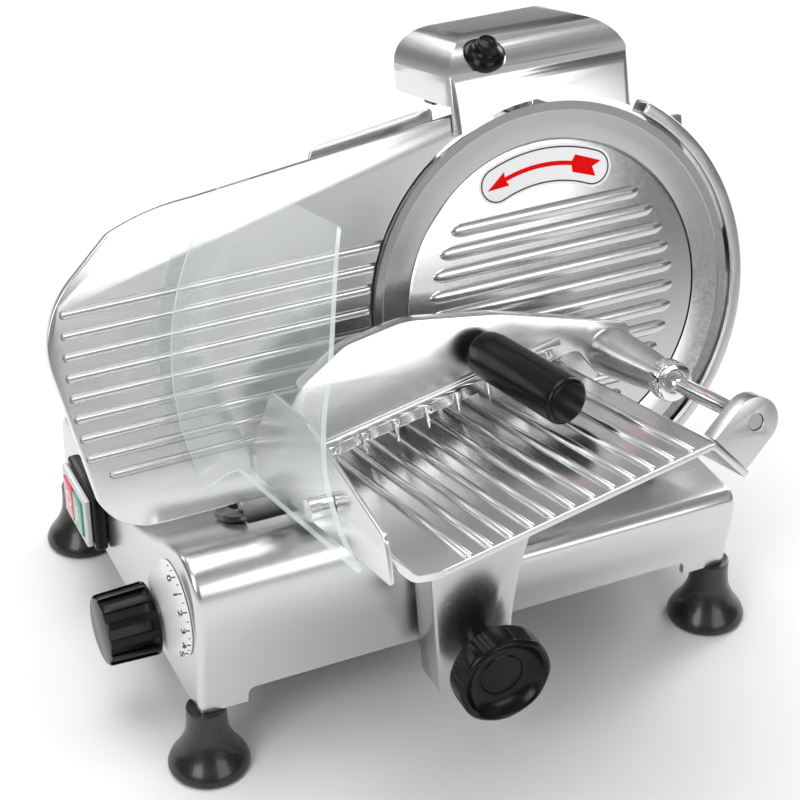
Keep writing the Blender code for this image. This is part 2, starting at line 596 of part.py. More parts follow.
def make_pusher():
    """The meat pusher on its rod: plate, spikes, sleeve and handle."""
    rod_bracket("rod_bracket_front", -207, -195)
    rod_bracket("rod_bracket_rear", -20, -14)
    cylinder("pusher_rod", (ROD_X, 0, ROD_U), ROD_RADIUS, -206, -14.5, finish="chrome", sides=24)
    turned("pusher_bush", [(5.3, -116), (6.6, -116), (6.6, -42), (5.3, -42)], (ROD_X, 0, ROD_U),
           finish="nylon", sides=24)
    turned("pusher_sleeve", [(6.9, -105), (10.5, -105), (15, -48), (15, -38.3), (6.9, -38.3)],
           (ROD_X, 0, ROD_U), finish="cast", sides=32)
    collar = [(6.9, -118), (11, -118), (12.5, -116.5), (12.5, -107), (11, -105.3), (6.9, -105.3)]
    turned("sleeve_ring", collar,
           (ROD_X, 0, ROD_U), finish="chrome", sides=20)
    top = [(-200, -22, 0), (-188, -4, 8), (-160, 13, 30), (-118, 20, 60), (-60, 11, 60), (4, -7, 20),
           (30, -14, 10), (33, -38, 10), (8, -46, 6), (-8, -24, 6), (-100, -40, 0), (-196, -56.5, 6)]
    plate = prism("pusher_plate", fillet(top, 6), -38, -34, "d", BLADE, "plate")
    crest = fillet(top, 6)
    upper = [point for point in crest if point[1] > -20 and -199 < point[0] < 4]
    lip = upper + [(x, u - 3.2) for x, u in reversed(upper)]
    join(plate, prism("pusher_lip", lip, -35, -26, "d", BLADE, cutter=True))
    cut(plate, cylinder("plate_bore", (ROD_X, 0, ROD_U), 7.0, -60, 0, cutter=True, sides=32))
    # A strip behind the plate's lower edge carries the spikes that grip the meat.
    comb = prism("pusher_spikes", [(-182, -46.2), (-182, -42.2), (-20, -13.2), (-20, -17.2)], -41.8, -38.3,
                 "d", BLADE, "chrome")
    for i in range(8):
        x = -176.0 + 21.0 * i
        edge = TRAY_TOP / math.cos(TRAY_SLOPE) + x * math.tan(TRAY_SLOPE)
        join(comb, cylinder(f"spike_{i}", (x, -40.05, 0), 1.5, edge + 2.5, edge + 18.0, "u",
                            cutter=True, sides=10))
    base = Vector((-76.0, -38.5, -6.0))
    tip = Vector((-59.0, -122.0, -23.0))
    aim = (tip - base).normalized()
    turn = aim.to_track_quat("Z", "Y").to_matrix().to_4x4()
    grip = BLADE @ Matrix.Translation(base * MM) @ turn
    length = (tip - base).length
    turned("pusher_handle", [(0, length + 2), (12, length + 2), (14.5, length), (15, length - 3), (15, 20),
                             (14, 9), (11.5, 7.2), (0, 7.2)], (0, 0, 0), "u", grip, "black", sides=20)


def make_lock_knob():
    lobes = []
    for i in range(48):
        angle = 2 * math.pi * i / 48
        radius = 30.4 + 0.6 * math.cos(8 * angle)
        lobes.append((-15 + radius * math.cos(angle), 72 + radius * math.sin(angle)))
    knob = prism("lock_knob", lobes, -212, -193, "d", WORLD, "black", at=(-15, -200, 72))
    bevel(knob, 2.5, 1, 50)
    join(knob, cylinder("knob_neck", (-15, 0, 72), 13.0, -195, -179.6, "d", WORLD, cutter=True))
    cut(knob, cylinder("knob_stud_bore", (-15, 0, 72), 4.6, -200, -170, "d", WORLD, cutter=True, sides=24))
    cylinder("lock_stud", (-15, 0, 72), 4.0, -199, -154, "d", WORLD, "chrome", sides=24)


# ---------------------------------------------------------------- sharpener

def hood_form(name, inset, low, cutter):
    """The hood's rounded box, or its hollow: three rounded outlines crossed with each other."""
    left, right = HOOD_X[0] + inset, HOOD_X[1] - inset
    front, rear = HOOD_D[0] + inset, HOOD_D[1] - inset
    top = HOOD_TOP - inset
    side = fillet([(front, low, 0), (rear, low, 0), (rear, top, 12 - inset), (front, top, 31 - inset)], 8)
    facing = fillet([(left, low, 0), (right, low, 0), (right, top, 28 - inset), (left, top, 30 - inset)], 8)
    plan = fillet([(left, front, 8 - inset), (right, front, 4.5 - inset), (right, rear, 8 - inset),
                   (left, rear, 8 - inset)], 4)
    form = prism(name, side, left - 5, right + 5, "x", BLADE, "plate", cutter)
    combine(form, prism(name + "_facing", facing, front - 5, rear + 5, "d", BLADE, cutter=True), "INTERSECT")
    return combine(form, prism(name + "_plan", plan, low - 5, top + 5, "u", BLADE, cutter=True), "INTERSECT")


def make_sharpener():
    """The sharpener on top of the head: a hood over two stones, a post and a clamping knob."""
    hood = hood_form("sharpener_hood", 0.0, 104.0, False)
    cut(hood, hood_form("hood_hollow", 3.0, 90.0, True),
        box("hood_under", (-120, -0.9, 60), (120, 200, 134), BLADE, cutter=True),
        cylinder("hood_blade_clearance", (0, 0, 0), 129.0, -30, 30, sides=96, cutter=True),
        *[cylinder(f"{name}_hole", (x, 0, STONE_U), 8.5, 70, 130, cutter=True, sides=28)
          for name, x in STONES])
    # The small black clamping knob leans forward out of the hood's top.
    lean = Matrix.Translation(Vector(HOOD_KNOB) * MM) @ Matrix.Rotation(KNOB_LEAN, 4, "X")
    knob = BLADE @ lean
    cut(hood, cylinder("knob_seat", (0, 0, 0), 4.6, -14, 20, "u", knob, cutter=True, sides=24),
        cylinder("knob_pocket", (0, 0, 0), 13.6, -2.9, 20, "u", knob, cutter=True, sides=28))
    turned("hood_knob", [(0, -6.5), (4, -6.5), (4, -2.6), (12.5, -2.6), (12.5, 1), (10.5, 3.5), (7.2, 6),
                         (6, 10), (5, 11.4), (0, 11.4)], (0, 0, 0), "u", knob, "black", sides=16)
    box("sharpener_frame", (-57.6, 30, 130), (60.2, 44, 139.5), BLADE, "black", round_off=1.5)
    cylinder("sharpener_post", (7, 37, 0), 7.0, 88, 129.7, "u", finish="chrome", sides=32)
    socket = box("post_socket", (-9, 20.3, 70), (23, 50, 118), BLADE, "cast", round_off=2.0)
    cut(socket, cylinder("socket_bore", (7, 37, 0), 7.3, 60, 130, "u", cutter=True, sides=32))
    for name, x in STONES:
        turned(f"{name}_stone", [(3.3, 17), (12.5, 17), (12.5, 24), (3.3, 24)], (x, 0, STONE_U),
               finish="stone", sides=28)
        stem = [(0, 15.5), (3.0, 15.5), (3.0, 79), (8, 79), (8, 103), (7, 104.5), (0, 104.5)]
        turned(f"{name}_button", stem,
               (x, 0, STONE_U), finish="black", sides=20)


make_base()
make_feet()
make_base_fittings()
make_switch()
make_index()
make_gauge()
make_blade()
make_head()
make_drive()
make_carriage()
make_tray()
make_pusher()
make_lock_knob()
make_sharpener()
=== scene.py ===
"""Looks of a deli meat slicer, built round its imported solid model, in metres and in the same frame."""
import math

import bmesh
import bpy
from mathutils import Matrix, Vector


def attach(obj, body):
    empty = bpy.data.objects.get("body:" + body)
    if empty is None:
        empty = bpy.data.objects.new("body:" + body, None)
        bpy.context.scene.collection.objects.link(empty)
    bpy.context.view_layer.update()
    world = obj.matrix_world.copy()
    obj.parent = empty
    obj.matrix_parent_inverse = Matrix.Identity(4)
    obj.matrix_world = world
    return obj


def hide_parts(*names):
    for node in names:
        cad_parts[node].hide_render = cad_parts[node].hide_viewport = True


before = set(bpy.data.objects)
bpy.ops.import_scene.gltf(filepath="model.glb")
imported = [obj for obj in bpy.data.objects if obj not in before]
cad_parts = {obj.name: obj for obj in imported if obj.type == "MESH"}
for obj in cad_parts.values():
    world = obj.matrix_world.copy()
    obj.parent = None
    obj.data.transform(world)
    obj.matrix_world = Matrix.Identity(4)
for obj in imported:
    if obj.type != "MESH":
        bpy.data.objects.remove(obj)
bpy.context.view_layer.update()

# ---------------------------------------------------------------- camera, floor and light
# A pale studio: a white floor, one big soft light overhead, a key from the left and a rim from
# behind, inside a sky that darkens towards the horizon so that polished metal has edges to show.
scene = bpy.context.scene
scene.view_settings.view_transform = "Standard"
scene.view_settings.look = "None"

view_axis = Vector((0.346, 0.762, -0.5472)).normalized()
lens = bpy.data.cameras.new("camera")
lens.sensor_width = 36.0
lens.lens = 98.94
lens.clip_end = 30.0
camera = bpy.data.objects.new("camera", lens)
camera.location = (-0.49215, -1.05266, 0.94544)
camera.rotation_euler = view_axis.to_track_quat("-Z", "Y").to_euler()
scene.collection.objects.link(camera)
scene.camera = camera

sky = bpy.data.worlds.new("studio")
sky.use_nodes = True
sky_nodes = sky.node_tree.nodes
sky_links = sky.node_tree.links
sky_nodes.clear()
sky_place = sky_nodes.new("ShaderNodeTexCoord")
sky_split = sky_nodes.new("ShaderNodeSeparateXYZ")
sky_ramp = sky_nodes.new("ShaderNodeValToRGB")
sky_glow = sky_nodes.new("ShaderNodeBackground")
sky_out = sky_nodes.new("ShaderNodeOutputWorld")
sky_ramp.color_ramp.interpolation = "EASE"
sky_ramp.color_ramp.elements[0].position = 0.0
sky_ramp.color_ramp.elements[0].color = (0.30, 0.30, 0.31, 1)
sky_ramp.color_ramp.elements[1].position = 1.0
sky_ramp.color_ramp.elements[1].color = (0.75, 0.75, 0.76, 1)
for height, shade in ((0.12, 0.10), (0.34, 0.42), (0.62, 0.95), (0.80, 0.40)):
    stop = sky_ramp.color_ramp.elements.new(height)
    stop.color = (shade, shade, shade * 1.01, 1)
sky_glow.inputs["Strength"].default_value = 0.62
sky_links.new(sky_place.outputs["Generated"], sky_split.inputs[0])
sky_links.new(sky_split.outputs["Z"], sky_ramp.inputs[0])
sky_links.new(sky_ramp.outputs[0], sky_glow.inputs["Color"])
sky_links.new(sky_glow.outputs[0], sky_out.inputs[0])
scene.world = sky

for name, spot, aim, power, across, deep in (
        ("overhead_softbox", (-0.15, 0.15, 1.75), (0, 0, 0.15), 17.0, 1.5, 1.1),
        ("key_softbox", (-1.55, -1.05, 1.15), (0, 0, 0.2), 15.0, 0.9, 1.2),
        ("front_fill", (0.55, -1.9, 0.75), (0, 0, 0.15), 7.0, 1.2, 0.7),
        ("rim_softbox", (1.5, 0.7, 0.9), (0, 0, 0.25), 12.0, 0.5, 1.4),
        ("rear_softbox", (-0.5, 1.6, 1.0), (0, 0, 0.2), 8.0, 1.4, 0.6)):
    glow = bpy.data.lights.new(name, "AREA")
    glow.shape = "RECTANGLE"
    glow.size = across
    glow.size_y = deep
    glow.energy = power
    lamp = bpy.data.objects.new(name, glow)
    lamp.location = spot
    lamp.rotation_euler = (Vector(aim) - Vector(spot)).to_track_quat("-Z", "Y").to_euler()
    scene.collection.objects.link(lamp)

floor_mesh = bpy.data.meshes.new("floor")
floor_mesh.from_pydata([(-9, -9, 0), (9, -9, 0), (9, 9, 0), (-9, 9, 0)], [], [(0, 1, 2, 3)])
floor = bpy.data.objects.new("floor", floor_mesh)
scene.collection.objects.link(floor)
floor_paint = bpy.data.materials.new("floor_paint")
floor_paint.use_nodes = True
floor_paint.node_tree.nodes["Principled BSDF"].inputs["Base Color"].default_value = (0.9, 0.9, 0.9, 1)
floor_paint.node_tree.nodes["Principled BSDF"].inputs["Roughness"].default_value = 0.9
floor_mesh.materials.append(floor_paint)


# ---------------------------------------------------------------- feet
# Four bell-shaped feet moulded in satin black rubber round a threaded stud.
# Each is screwed up into the corner of the base, its rim flared to grip the worktop.
MM = 0.001
TO_ROW = Vector((5.0, 63.73, 0.0))
WORLD = Matrix.Translation(TO_ROW * MM)


def flowing(points, steps=6, closed=False):
    """A smooth line through the given points, with `steps` short spans between each pair."""
    out = []
    count = len(points)
    spans = count if closed else count - 1
    for i in range(spans):
        if closed:
            four = [Vector(points[(i + k) % count]) for k in (-1, 0, 1, 2)]
        else:
            four = [Vector(points[min(max(i + k, 0), count - 1)]) for k in (-1, 0, 1, 2)]
        for s in range(steps):
            t = s / steps
            a = four[1] * 2 + (four[2] - four[0]) * t
            b = (four[0] * 2 - four[1] * 5 + four[2] * 4 - four[3]) * t * t
            c = (four[1] * 3 - four[0] - four[2] * 3 + four[3]) * t * t * t
            out.append(tuple((a + b + c) / 2))
    if not closed:
        out.append(tuple(points[-1]))
    return out


def settled(bm, name, place=WORLD, sharp=35.0):
    """The finished mesh of a bmesh in millimetres: doubles merged, faces out, put in its place."""
    bmesh.ops.remove_doubles(bm, verts=bm.verts[:], dist=0.0005)
    bmesh.ops.recalc_face_normals(bm, faces=bm.faces[:])
    mesh = bpy.data.meshes.new(name)
    bm.to_mesh(mesh)
    bm.free()
    mesh.transform(place @ Matrix.Scale(MM, 4))
    mesh.shade_smooth()
    mesh.set_sharp_from_angle(angle=math.radians(sharp))
    return mesh


def turned(name, profile, centre=(0, 0, 0), axis="u", place=WORLD, steps=72, sharp=35.0):
    """A (radius, along) profile in millimetres, spun about an axis through centre."""
    turn = {"x": Matrix.Rotation(math.pi / 2, 4, "Y"), "d": Matrix.Rotation(-math.pi / 2, 4, "X"),
            "u": Matrix.Identity(4)}[axis]
    bm = bmesh.new()
    line = [bm.verts.new((r, 0, along)) for r, along in profile]
    pairs = list(zip(line, line[1:]))
    if min(r for r, _ in profile) > 0:
        pairs.append((line[-1], line[0]))
    for first, second in pairs:
        bm.edges.new((first, second))
    bmesh.ops.spin(bm, geom=bm.verts[:] + bm.edges[:], cent=(0, 0, 0), axis=(0, 0, 1),
                   angle=2 * math.pi, steps=steps, use_merge=True)
    bm.transform(Matrix.Translation(Vector(centre)) @ turn)
    return settled(bm, name, place, sharp)


def shown(name, mesh, material, body, slot, *nodes):
    """A finished piece: it wears a material, rides on a body and stands for its solid nodes."""
    mesh.materials.clear()
    mesh.materials.append(material)
    made = bpy.data.objects.new(name, mesh)
    scene.collection.objects.link(made)
    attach(made, body)
    if nodes:
        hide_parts(*nodes)
    return made


def surface(name, color, roughness, metallic=0.0, grain=0.05, grain_size=(400, 400, 400), relief=0.0,
            tone=0.04, coat=0.0):
    """A procedural finish: fine grain in its roughness, a slow drift in tone, and a shallow relief."""
    made = bpy.data.materials.new(name)
    made.use_nodes = True
    nodes = made.node_tree.nodes
    links = made.node_tree.links
    shader = nodes["Principled BSDF"]
    shader.inputs["Metallic"].default_value = metallic
    shader.inputs["Coat Weight"].default_value = coat
    shader.inputs["Coat Roughness"].default_value = 0.06
    where = nodes.new("ShaderNodeTexCoord")
    turn = nodes.new("ShaderNodeMapping")
    turn.inputs["Scale"].default_value = grain_size
    fine = nodes.new("ShaderNodeTexNoise")
    fine.inputs["Scale"].default_value = 1.0
    fine.inputs["Detail"].default_value = 4.0
    slow = nodes.new("ShaderNodeTexNoise")
    slow.inputs["Scale"].default_value = 9.0
    slow.inputs["Detail"].default_value = 3.0
    rough = nodes.new("ShaderNodeMapRange")
    rough.inputs["From Min"].default_value = 0.25
    rough.inputs["From Max"].default_value = 0.75
    rough.inputs["To Min"].default_value = max(roughness - grain, 0.02)
    rough.inputs["To Max"].default_value = roughness + grain
    shade = nodes.new("ShaderNodeValToRGB")
    shade.color_ramp.elements[0].position = 0.3
    shade.color_ramp.elements[0].color = (*[c * (1 - tone) for c in color], 1)
    shade.color_ramp.elements[1].position = 0.7
    shade.color_ramp.elements[1].color = (*[min(c * (1 + tone), 1.0) for c in color], 1)
    links.new(where.outputs["Object"], turn.inputs["Vector"])
    links.new(turn.outputs[0], fine.inputs["Vector"])
    links.new(where.outputs["Object"], slow.inputs["Vector"])
    links.new(fine.outputs["Fac"], rough.inputs["Value"])
    links.new(rough.outputs[0], shader.inputs["Roughness"])
    links.new(slow.outputs["Fac"], shade.inputs["Fac"])
    links.new(shade.outputs["Color"], shader.inputs["Base Color"])
    if relief:
        bump = nodes.new("ShaderNodeBump")
        bump.inputs["Strength"].default_value = 1.0
        bump.inputs["Distance"].default_value = relief * MM
        links.new(fine.outputs["Fac"], bump.inputs["Height"])
        links.new(bump.outputs[0], shader.inputs["Normal"])
    return made


foot_rubber = surface("foot_rubber", (0.012, 0.012, 0.013), 0.30, grain=0.06, grain_size=(900, 900, 900),
                      relief=0.02, coat=0.25)
bell = flowing([(12.6, 46.6), (12.8, 38), (13.4, 31), (14.8, 25), (19, 16), (24, 8.5), (26, 4)], 6)
bell = [(0, 47.5), (11.4, 47.5), (12.3, 47.2)] + bell + [(25.9, 2.4), (25.2, 0.9), (24, 0.1), (20, 0), (0, 0)]
for end, y in (("front", -129.0), ("rear", 129.0)):
    for side, x in (("left", -180.0), ("right", 180.0)):
        shown(f"rubber_foot_{end}_{side}", turned(f"foot_{end}_{side}", bell, (x, y, 0)), foot_rubber,
              "base", "rubber", f"foot_{end}_{side}")


# ---------------------------------------------------------------- base housing
# The sand-cast aluminium base, ground and polished on its outside, with a hump at the left
# that hides the thickness mechanism. It is one casting, open underneath.
def carved(mesh, cutters, operation="DIFFERENCE"):
    """The mesh after exact Booleans with other meshes, with its shading set again."""
    work = bpy.data.objects.new("work", mesh)
    scene.collection.objects.link(work)
    others = []
    for cutter in cutters:
        other = bpy.data.objects.new("cutter", cutter)
        scene.collection.objects.link(other)
        step = work.modifiers.new("cut", "BOOLEAN")
        step.object = other
        step.operation = operation
        step.solver = "EXACT"
        others.append(other)
    bpy.context.view_layer.update()
    done = bpy.data.meshes.new_from_object(work.evaluated_get(bpy.context.evaluated_depsgraph_get()))
    for spent in [work] + others:
        bpy.data.objects.remove(spent, do_unlink=True)
    done.shade_smooth()
    done.set_sharp_from_angle(angle=math.radians(35))
    return done


def block(name, low, high, place=WORLD, soft=0.0, steps=3):
    """A box between two corners in millimetres, its edges rounded by `soft`."""
    low = Vector(low)
    high = Vector(high)
    bm = bmesh.new()
    size = Matrix.Diagonal((high - low).to_4d())
    size[3][3] = 1.0
    bmesh.ops.create_cube(bm, size=1.0, matrix=Matrix.Translation((low + high) / 2) @ size)
    if soft:
        bmesh.ops.bevel(bm, geom=bm.edges[:], offset=soft, segments=steps, profile=0.5, affect="EDGES")
    return settled(bm, name, place)


def slab(name, outline, low, high, axis="d", place=WORLD, soft=0.0, steps=3, from_angle=50.0):
    """A flat outline in millimetres, extruded along an axis, its sharp edges rounded by `soft`.

    The outline's two numbers are (x, u) for axis d, (d, u) for axis x and (x, d) for axis u.
    """
    put = {"x": lambda a, b, c: (c, a, b), "d": lambda a, b, c: (a, c, b), "u": lambda a, b,
           c: (a, b, c)}[axis]
    bm = bmesh.new()
    rings = [[bm.verts.new(put(a, b, c)) for a, b in outline] for c in (low, high)]
    bm.faces.new(rings[0])
    bm.faces.new(list(reversed(rings[1])))
    for i in range(len(outline)):
        j = (i + 1) % len(outline)
        bm.faces.new((rings[0][j], rings[0][i], rings[1][i], rings[1][j]))
    bmesh.ops.recalc_face_normals(bm, faces=bm.faces[:])
    if soft:
        sharp = [e for e in bm.edges if e.calc_face_angle(0.0) > math.radians(from_angle)]
        bmesh.ops.bevel(bm, geom=sharp, offset=soft, segments=steps, profile=0.5, affect="EDGES",
                        clamp_overlap=True)
    return settled(bm, name, place)


def arc(cx, cy, radius, start, stop, steps):
    """Points along a circle's arc, its angles in degrees."""
    return [(cx + radius * math.cos(math.radians(start + (stop - start) * i / steps)),
             cy + radius * math.sin(math.radians(start + (stop - start) * i / steps)))
            for i in range(steps + 1)]


def rounded(corners, steps=10):
    """A polygon with each (x, y, radius) corner rounded by an arc."""
    out = []
    count = len(corners)
    for i, (x, y, radius) in enumerate(corners):
        here = Vector((x, y))
        before = (Vector(corners[i - 1][:2]) - here).normalized()
        after = (Vector(corners[(i + 1) % count][:2]) - here).normalized()
        if radius <= 0:
            out.append((x, y))
            continue
        half = before.angle(after) / 2
        centre = here + (before + after).normalized() * radius / math.sin(half)
        first = here + before * radius / math.tan(half) - centre
        last = here + after * radius / math.tan(half) - centre
        sweep = first.angle_signed(last)
        for k in range(steps + 1):
            out.append(tuple(centre + Matrix.Rotation(-sweep * k / steps, 2) @ first))
    return out


cast_metal = surface("cast_metal", (0.66, 0.665, 0.67), 0.26, 1.0, grain=0.015, grain_size=(500, 500, 500),
                     relief=0.0004, tone=0.012)
dark_steel = surface("dark_steel", (0.07, 0.07, 0.075), 0.45, 0.6, grain=0.1, relief=0.02)
HUMPED = [(-137.0, 48.0), (-139.0, 72.0), (-143.5, 104.0), (-143.5, 128.0), (-139.5, 143.0), (-131.0, 153.0),
          (-118.0, 156.0), (-99.0, 150.0), (-78.0, 141.0), (-57.0, 130.0), (-36.0, 121.0), (-16.0, 114.0),
          (6.0, 110.0), (40.0, 109.0), (100.0, 109.0), (128.0, 107.0), (136.0, 97.0), (138.0, 76.0),
          (138.0, 48.0)]
PLAIN = [(-137.0, 48.0), (-139.0, 66.0), (-142.5, 84.0), (-143.5, 98.0), (-142.5, 104.0), (-139.0, 107.5),
         (-133.0, 109.0), (-110.0, 109.0), (-85.0, 109.0), (-60.0, 109.0), (-38.0, 109.0), (-16.0, 109.0),
         (6.0, 109.0), (40.0, 109.0), (100.0, 109.0), (128.0, 107.0), (136.0, 97.0), (138.0, 76.0),
         (138.0, 48.0)]
bm = bmesh.new()
rows = []
for x in [-187.0, -150.0, -100.0, -60.0] + [-20.0 + 2.0 * i for i in range(25)] + [60.0, 110.0, 150.0, 187.0]:
    t = min(max((x + 20.0) / 48.0, 0.0), 1.0)
    share = 1.0 - t * t * (3.0 - 2.0 * t)
    mixed = [(a[0] * share + b[0] * (1 - share), a[1] * share + b[1] * (1 - share)) for a,
             b in zip(HUMPED, PLAIN)]
    rows.append([bm.verts.new((x, y, z)) for y, z in flowing(mixed, 5)])
for left, right in zip(rows, rows[1:]):
    for i in range(len(left) - 1):
        bm.faces.new((left[i], right[i], right[i + 1], left[i + 1]))
    bm.faces.new((left[-1], right[-1], right[0], left[0]))
bm.faces.new(rows[0])
bm.faces.new(list(reversed(rows[-1])))
bmesh.ops.recalc_face_normals(bm, faces=bm.faces[:])
ends = [e for e in bm.edges
        if e.calc_face_angle(0.0) > math.radians(50) and max(v.co.z for v in e.verts) > 49]
bmesh.ops.bevel(bm, geom=ends, offset=7.0, segments=6, profile=0.5, affect="EDGES", clamp_overlap=True)
outside = settled(bm, "base_outside")
bm = bmesh.new()
hollow = [[bm.verts.new((x, y, z)) for y, z in
           ((-132, 40), (-134, 70), (-139, 100), (-139, 126) if x < 0 else (-138.5, 102),
            (-128, 148) if x < 0 else (-130, 104.5), (-116, 151) if x < 0 else (-100, 104.7),
            (-60, 126.5) if x < 0 else (-60, 104.7), (-16, 108.5) if x < 0 else (-16, 104.7), (40, 104.7),
            (126, 103), (133.5, 76), (134, 40))] for x in (-183, -26, 30, 183)]
for left, right in zip(hollow, hollow[1:]):
    for i in range(12):
        j = (i + 1) % 12
        bm.faces.new((left[i], right[i], right[j], left[j]))
bm.faces.new(hollow[0])
bm.faces.new(list(reversed(hollow[-1])))
base = carved(outside, [
    settled(bm, "base_hollow"),
    block("notch", (-155, -170, 40), (154, -120, 59), soft=5.0),
    block("arm_slot", (-134, -93, 60), (-97, -50, 180)),
    block("motor_opening", (42, -40, 90), (172, 73, 130))])
shown("base_casting", base, cast_metal, "base", "cast_aluminium", "base_housing")
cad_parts["bottom_plate"].data.materials.clear()
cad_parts["bottom_plate"].data.materials.append(dark_steel)

bright_chrome = surface("bright_chrome", (0.86, 0.86, 0.87), 0.07, 1.0, grain=0.03,
                        grain_size=(60, 1500, 1500))
shown("slide_rod", turned("slide_rod", [(0, -182.5), (7.2, -182.5), (8, -181.7), (8, 181.7), (7.2, 182.5),
                                        (0, 182.5)],
                          (0, -118, 80), "x"), bright_chrome, "base", "chrome", "carriage_slide_rod")
black_plastic = surface("black_plastic", (0.003, 0.003, 0.0035), 0.24, grain=0.03, grain_size=(600, 600, 600),
                        relief=0.002)
black_plastic.node_tree.nodes["Principled BSDF"].inputs["Specular IOR Level"].default_value = 0.24
shown("cord_gland_nut", turned("cord_gland_nut",
                               [(4, 126.2), (7.9, 126.2), (7.9, 138.3), (11.6, 138.3), (12, 138.7),
                                (12, 143.5), (11.4, 144.2), (8.2, 151), (7.6, 152), (4, 152)],
                               (-120, 0, 78), "d", steps=48), black_plastic, "base", "black_plastic",
      "cord_gland")


# ---------------------------------------------------------------- switch
# A black moulded switch box on the left wall with a pale bevelled bezel round two rockers:
# red to stop, at the rear, and green to start, in front, each with its plain circle or bar.
bezel_metal = surface("bezel_metal", (0.62, 0.63, 0.64), 0.35, 0.4, grain=0.05, relief=0.01)
red_plastic = surface("red_plastic", (0.62, 0.012, 0.03), 0.22, grain=0.03, relief=0.004, coat=0.5)
green_plastic = surface("green_plastic", (0.012, 0.27, 0.13), 0.22, grain=0.03, relief=0.004, coat=0.5)
white_print = surface("white_print", (0.86, 0.86, 0.85), 0.5, grain=0.05)
shown("switch_housing", block("switch_housing", (-196.3, 36.1, 56.1), (-187.4, 91.9, 99.9), soft=2.2),
      black_plastic, "base", "black_plastic", "switch_box")
shown("switch_frame", carved(block("switch_frame", (-201.2, 39.1, 59.1), (-196.7, 88.9, 96.9), soft=1.4,
                                   steps=4),
                             [block("window", (-207, 44, 64), (-190, 84, 92))]),
      bezel_metal, "base", "plate_aluminium", "switch_bezel")
shown("stop_rocker", block("stop_rocker", (-202.4, 64.6, 64.6), (-199.6, 83.4, 91.4), soft=1.1), red_plastic,
      "stop", "red_plastic", "button_stop")
shown("start_rocker", block("start_rocker", (-202.4, 44.6, 64.6), (-199.6, 63.4, 91.4), soft=1.1),
      green_plastic, "start", "green_plastic", "button_start")
shown("stop_circle", turned("stop_circle", [(4.2, -202.48), (5.6, -202.48), (5.6, -202.36), (4.2, -202.36)],
                            (0, 74, 78), "x"), white_print, "stop", "white_plastic")
shown("start_bar", block("start_bar", (-202.48, 53.2, 72), (-202.36, 54.8, 84)), white_print, "start",
      "white_plastic")


# ---------------------------------------------------------------- dial and thickness knob
# A white dial plate set into the left wall, printed with the slice thickness from 0 to 5, and
# the black moulded knob that turns the cam inside. Its twelve flutes are cut by a ring of cutters.
def ring_tree(name):
    """Geometry Nodes: an item repeated at equal steps along an arc about X, each turned with it."""
    tree = bpy.data.node_groups.new(name, "GeometryNodeTree")
    face = tree.interface
    for title, kind in (("Item", "NodeSocketObject"), ("Count", "NodeSocketInt"),
                        ("First Angle", "NodeSocketFloat"),
                        ("Step Angle", "NodeSocketFloat"), ("Centre", "NodeSocketVector"),
                        ("Material", "NodeSocketMaterial")):
        face.new_socket(name=title, in_out="INPUT", socket_type=kind)
    face.new_socket(name="Geometry", in_out="OUTPUT", socket_type="NodeSocketGeometry")
    nodes = tree.nodes
    links = tree.links
    given = nodes.new("NodeGroupInput")
    out = nodes.new("NodeGroupOutput")
    points = nodes.new("GeometryNodeMeshLine")
    index = nodes.new("GeometryNodeInputIndex")
    angle = nodes.new("ShaderNodeMath")
    angle.operation = "MULTIPLY_ADD"
    turn = nodes.new("ShaderNodeCombineXYZ")
    item = nodes.new("GeometryNodeObjectInfo")
    place = nodes.new("GeometryNodeInstanceOnPoints")
    move = nodes.new("GeometryNodeSetPosition")
    real = nodes.new("GeometryNodeRealizeInstances")
    paint = nodes.new("GeometryNodeSetMaterial")
    links.new(given.outputs["Count"], points.inputs["Count"])
    links.new(index.outputs[0], angle.inputs[0])
    links.new(given.outputs["Step Angle"], angle.inputs[1])
    links.new(given.outputs["First Angle"], angle.inputs[2])
    links.new(angle.outputs[0], turn.inputs["X"])
    links.new(points.outputs[0], move.inputs["Geometry"])
    links.new(given.outputs["Centre"], move.inputs["Position"])
    links.new(move.outputs[0], place.inputs["Points"])
    links.new(given.outputs["Item"], item.inputs["Object"])
    links.new(item.outputs["Geometry"], place.inputs["Instance"])
    links.new(turn.outputs[0], place.inputs["Rotation"])
    links.new(place.outputs[0], real.inputs[0])
    links.new(real.outputs[0], paint.inputs["Geometry"])
    links.new(given.outputs["Material"], paint.inputs["Material"])
    links.new(paint.outputs[0], out.inputs[0])
    return tree


def repeated(name, tree, item_mesh, **sizes):
    """The plain mesh that a tree makes from one item, its inputs set by name."""
    item = bpy.data.objects.new("item", item_mesh)
    scene.collection.objects.link(item)
    host = bpy.data.objects.new(name, bpy.data.meshes.new(name))
    scene.collection.objects.link(host)
    step = host.modifiers.new("repeat", "NODES")
    step.node_group = tree
    keys = {s.name: s.identifier for s in tree.interface.items_tree if s.in_out == "INPUT"}
    step[keys["Item"]] = item
    for title, value in sizes.items():
        step[keys[title.replace("_", " ")]] = value
    host.update_tag()
    bpy.context.view_layer.update()
    mesh = bpy.data.meshes.new_from_object(host.evaluated_get(bpy.context.evaluated_depsgraph_get()))
    bpy.data.objects.remove(host, do_unlink=True)
    bpy.data.objects.remove(item, do_unlink=True)
    mesh.name = name
    return mesh


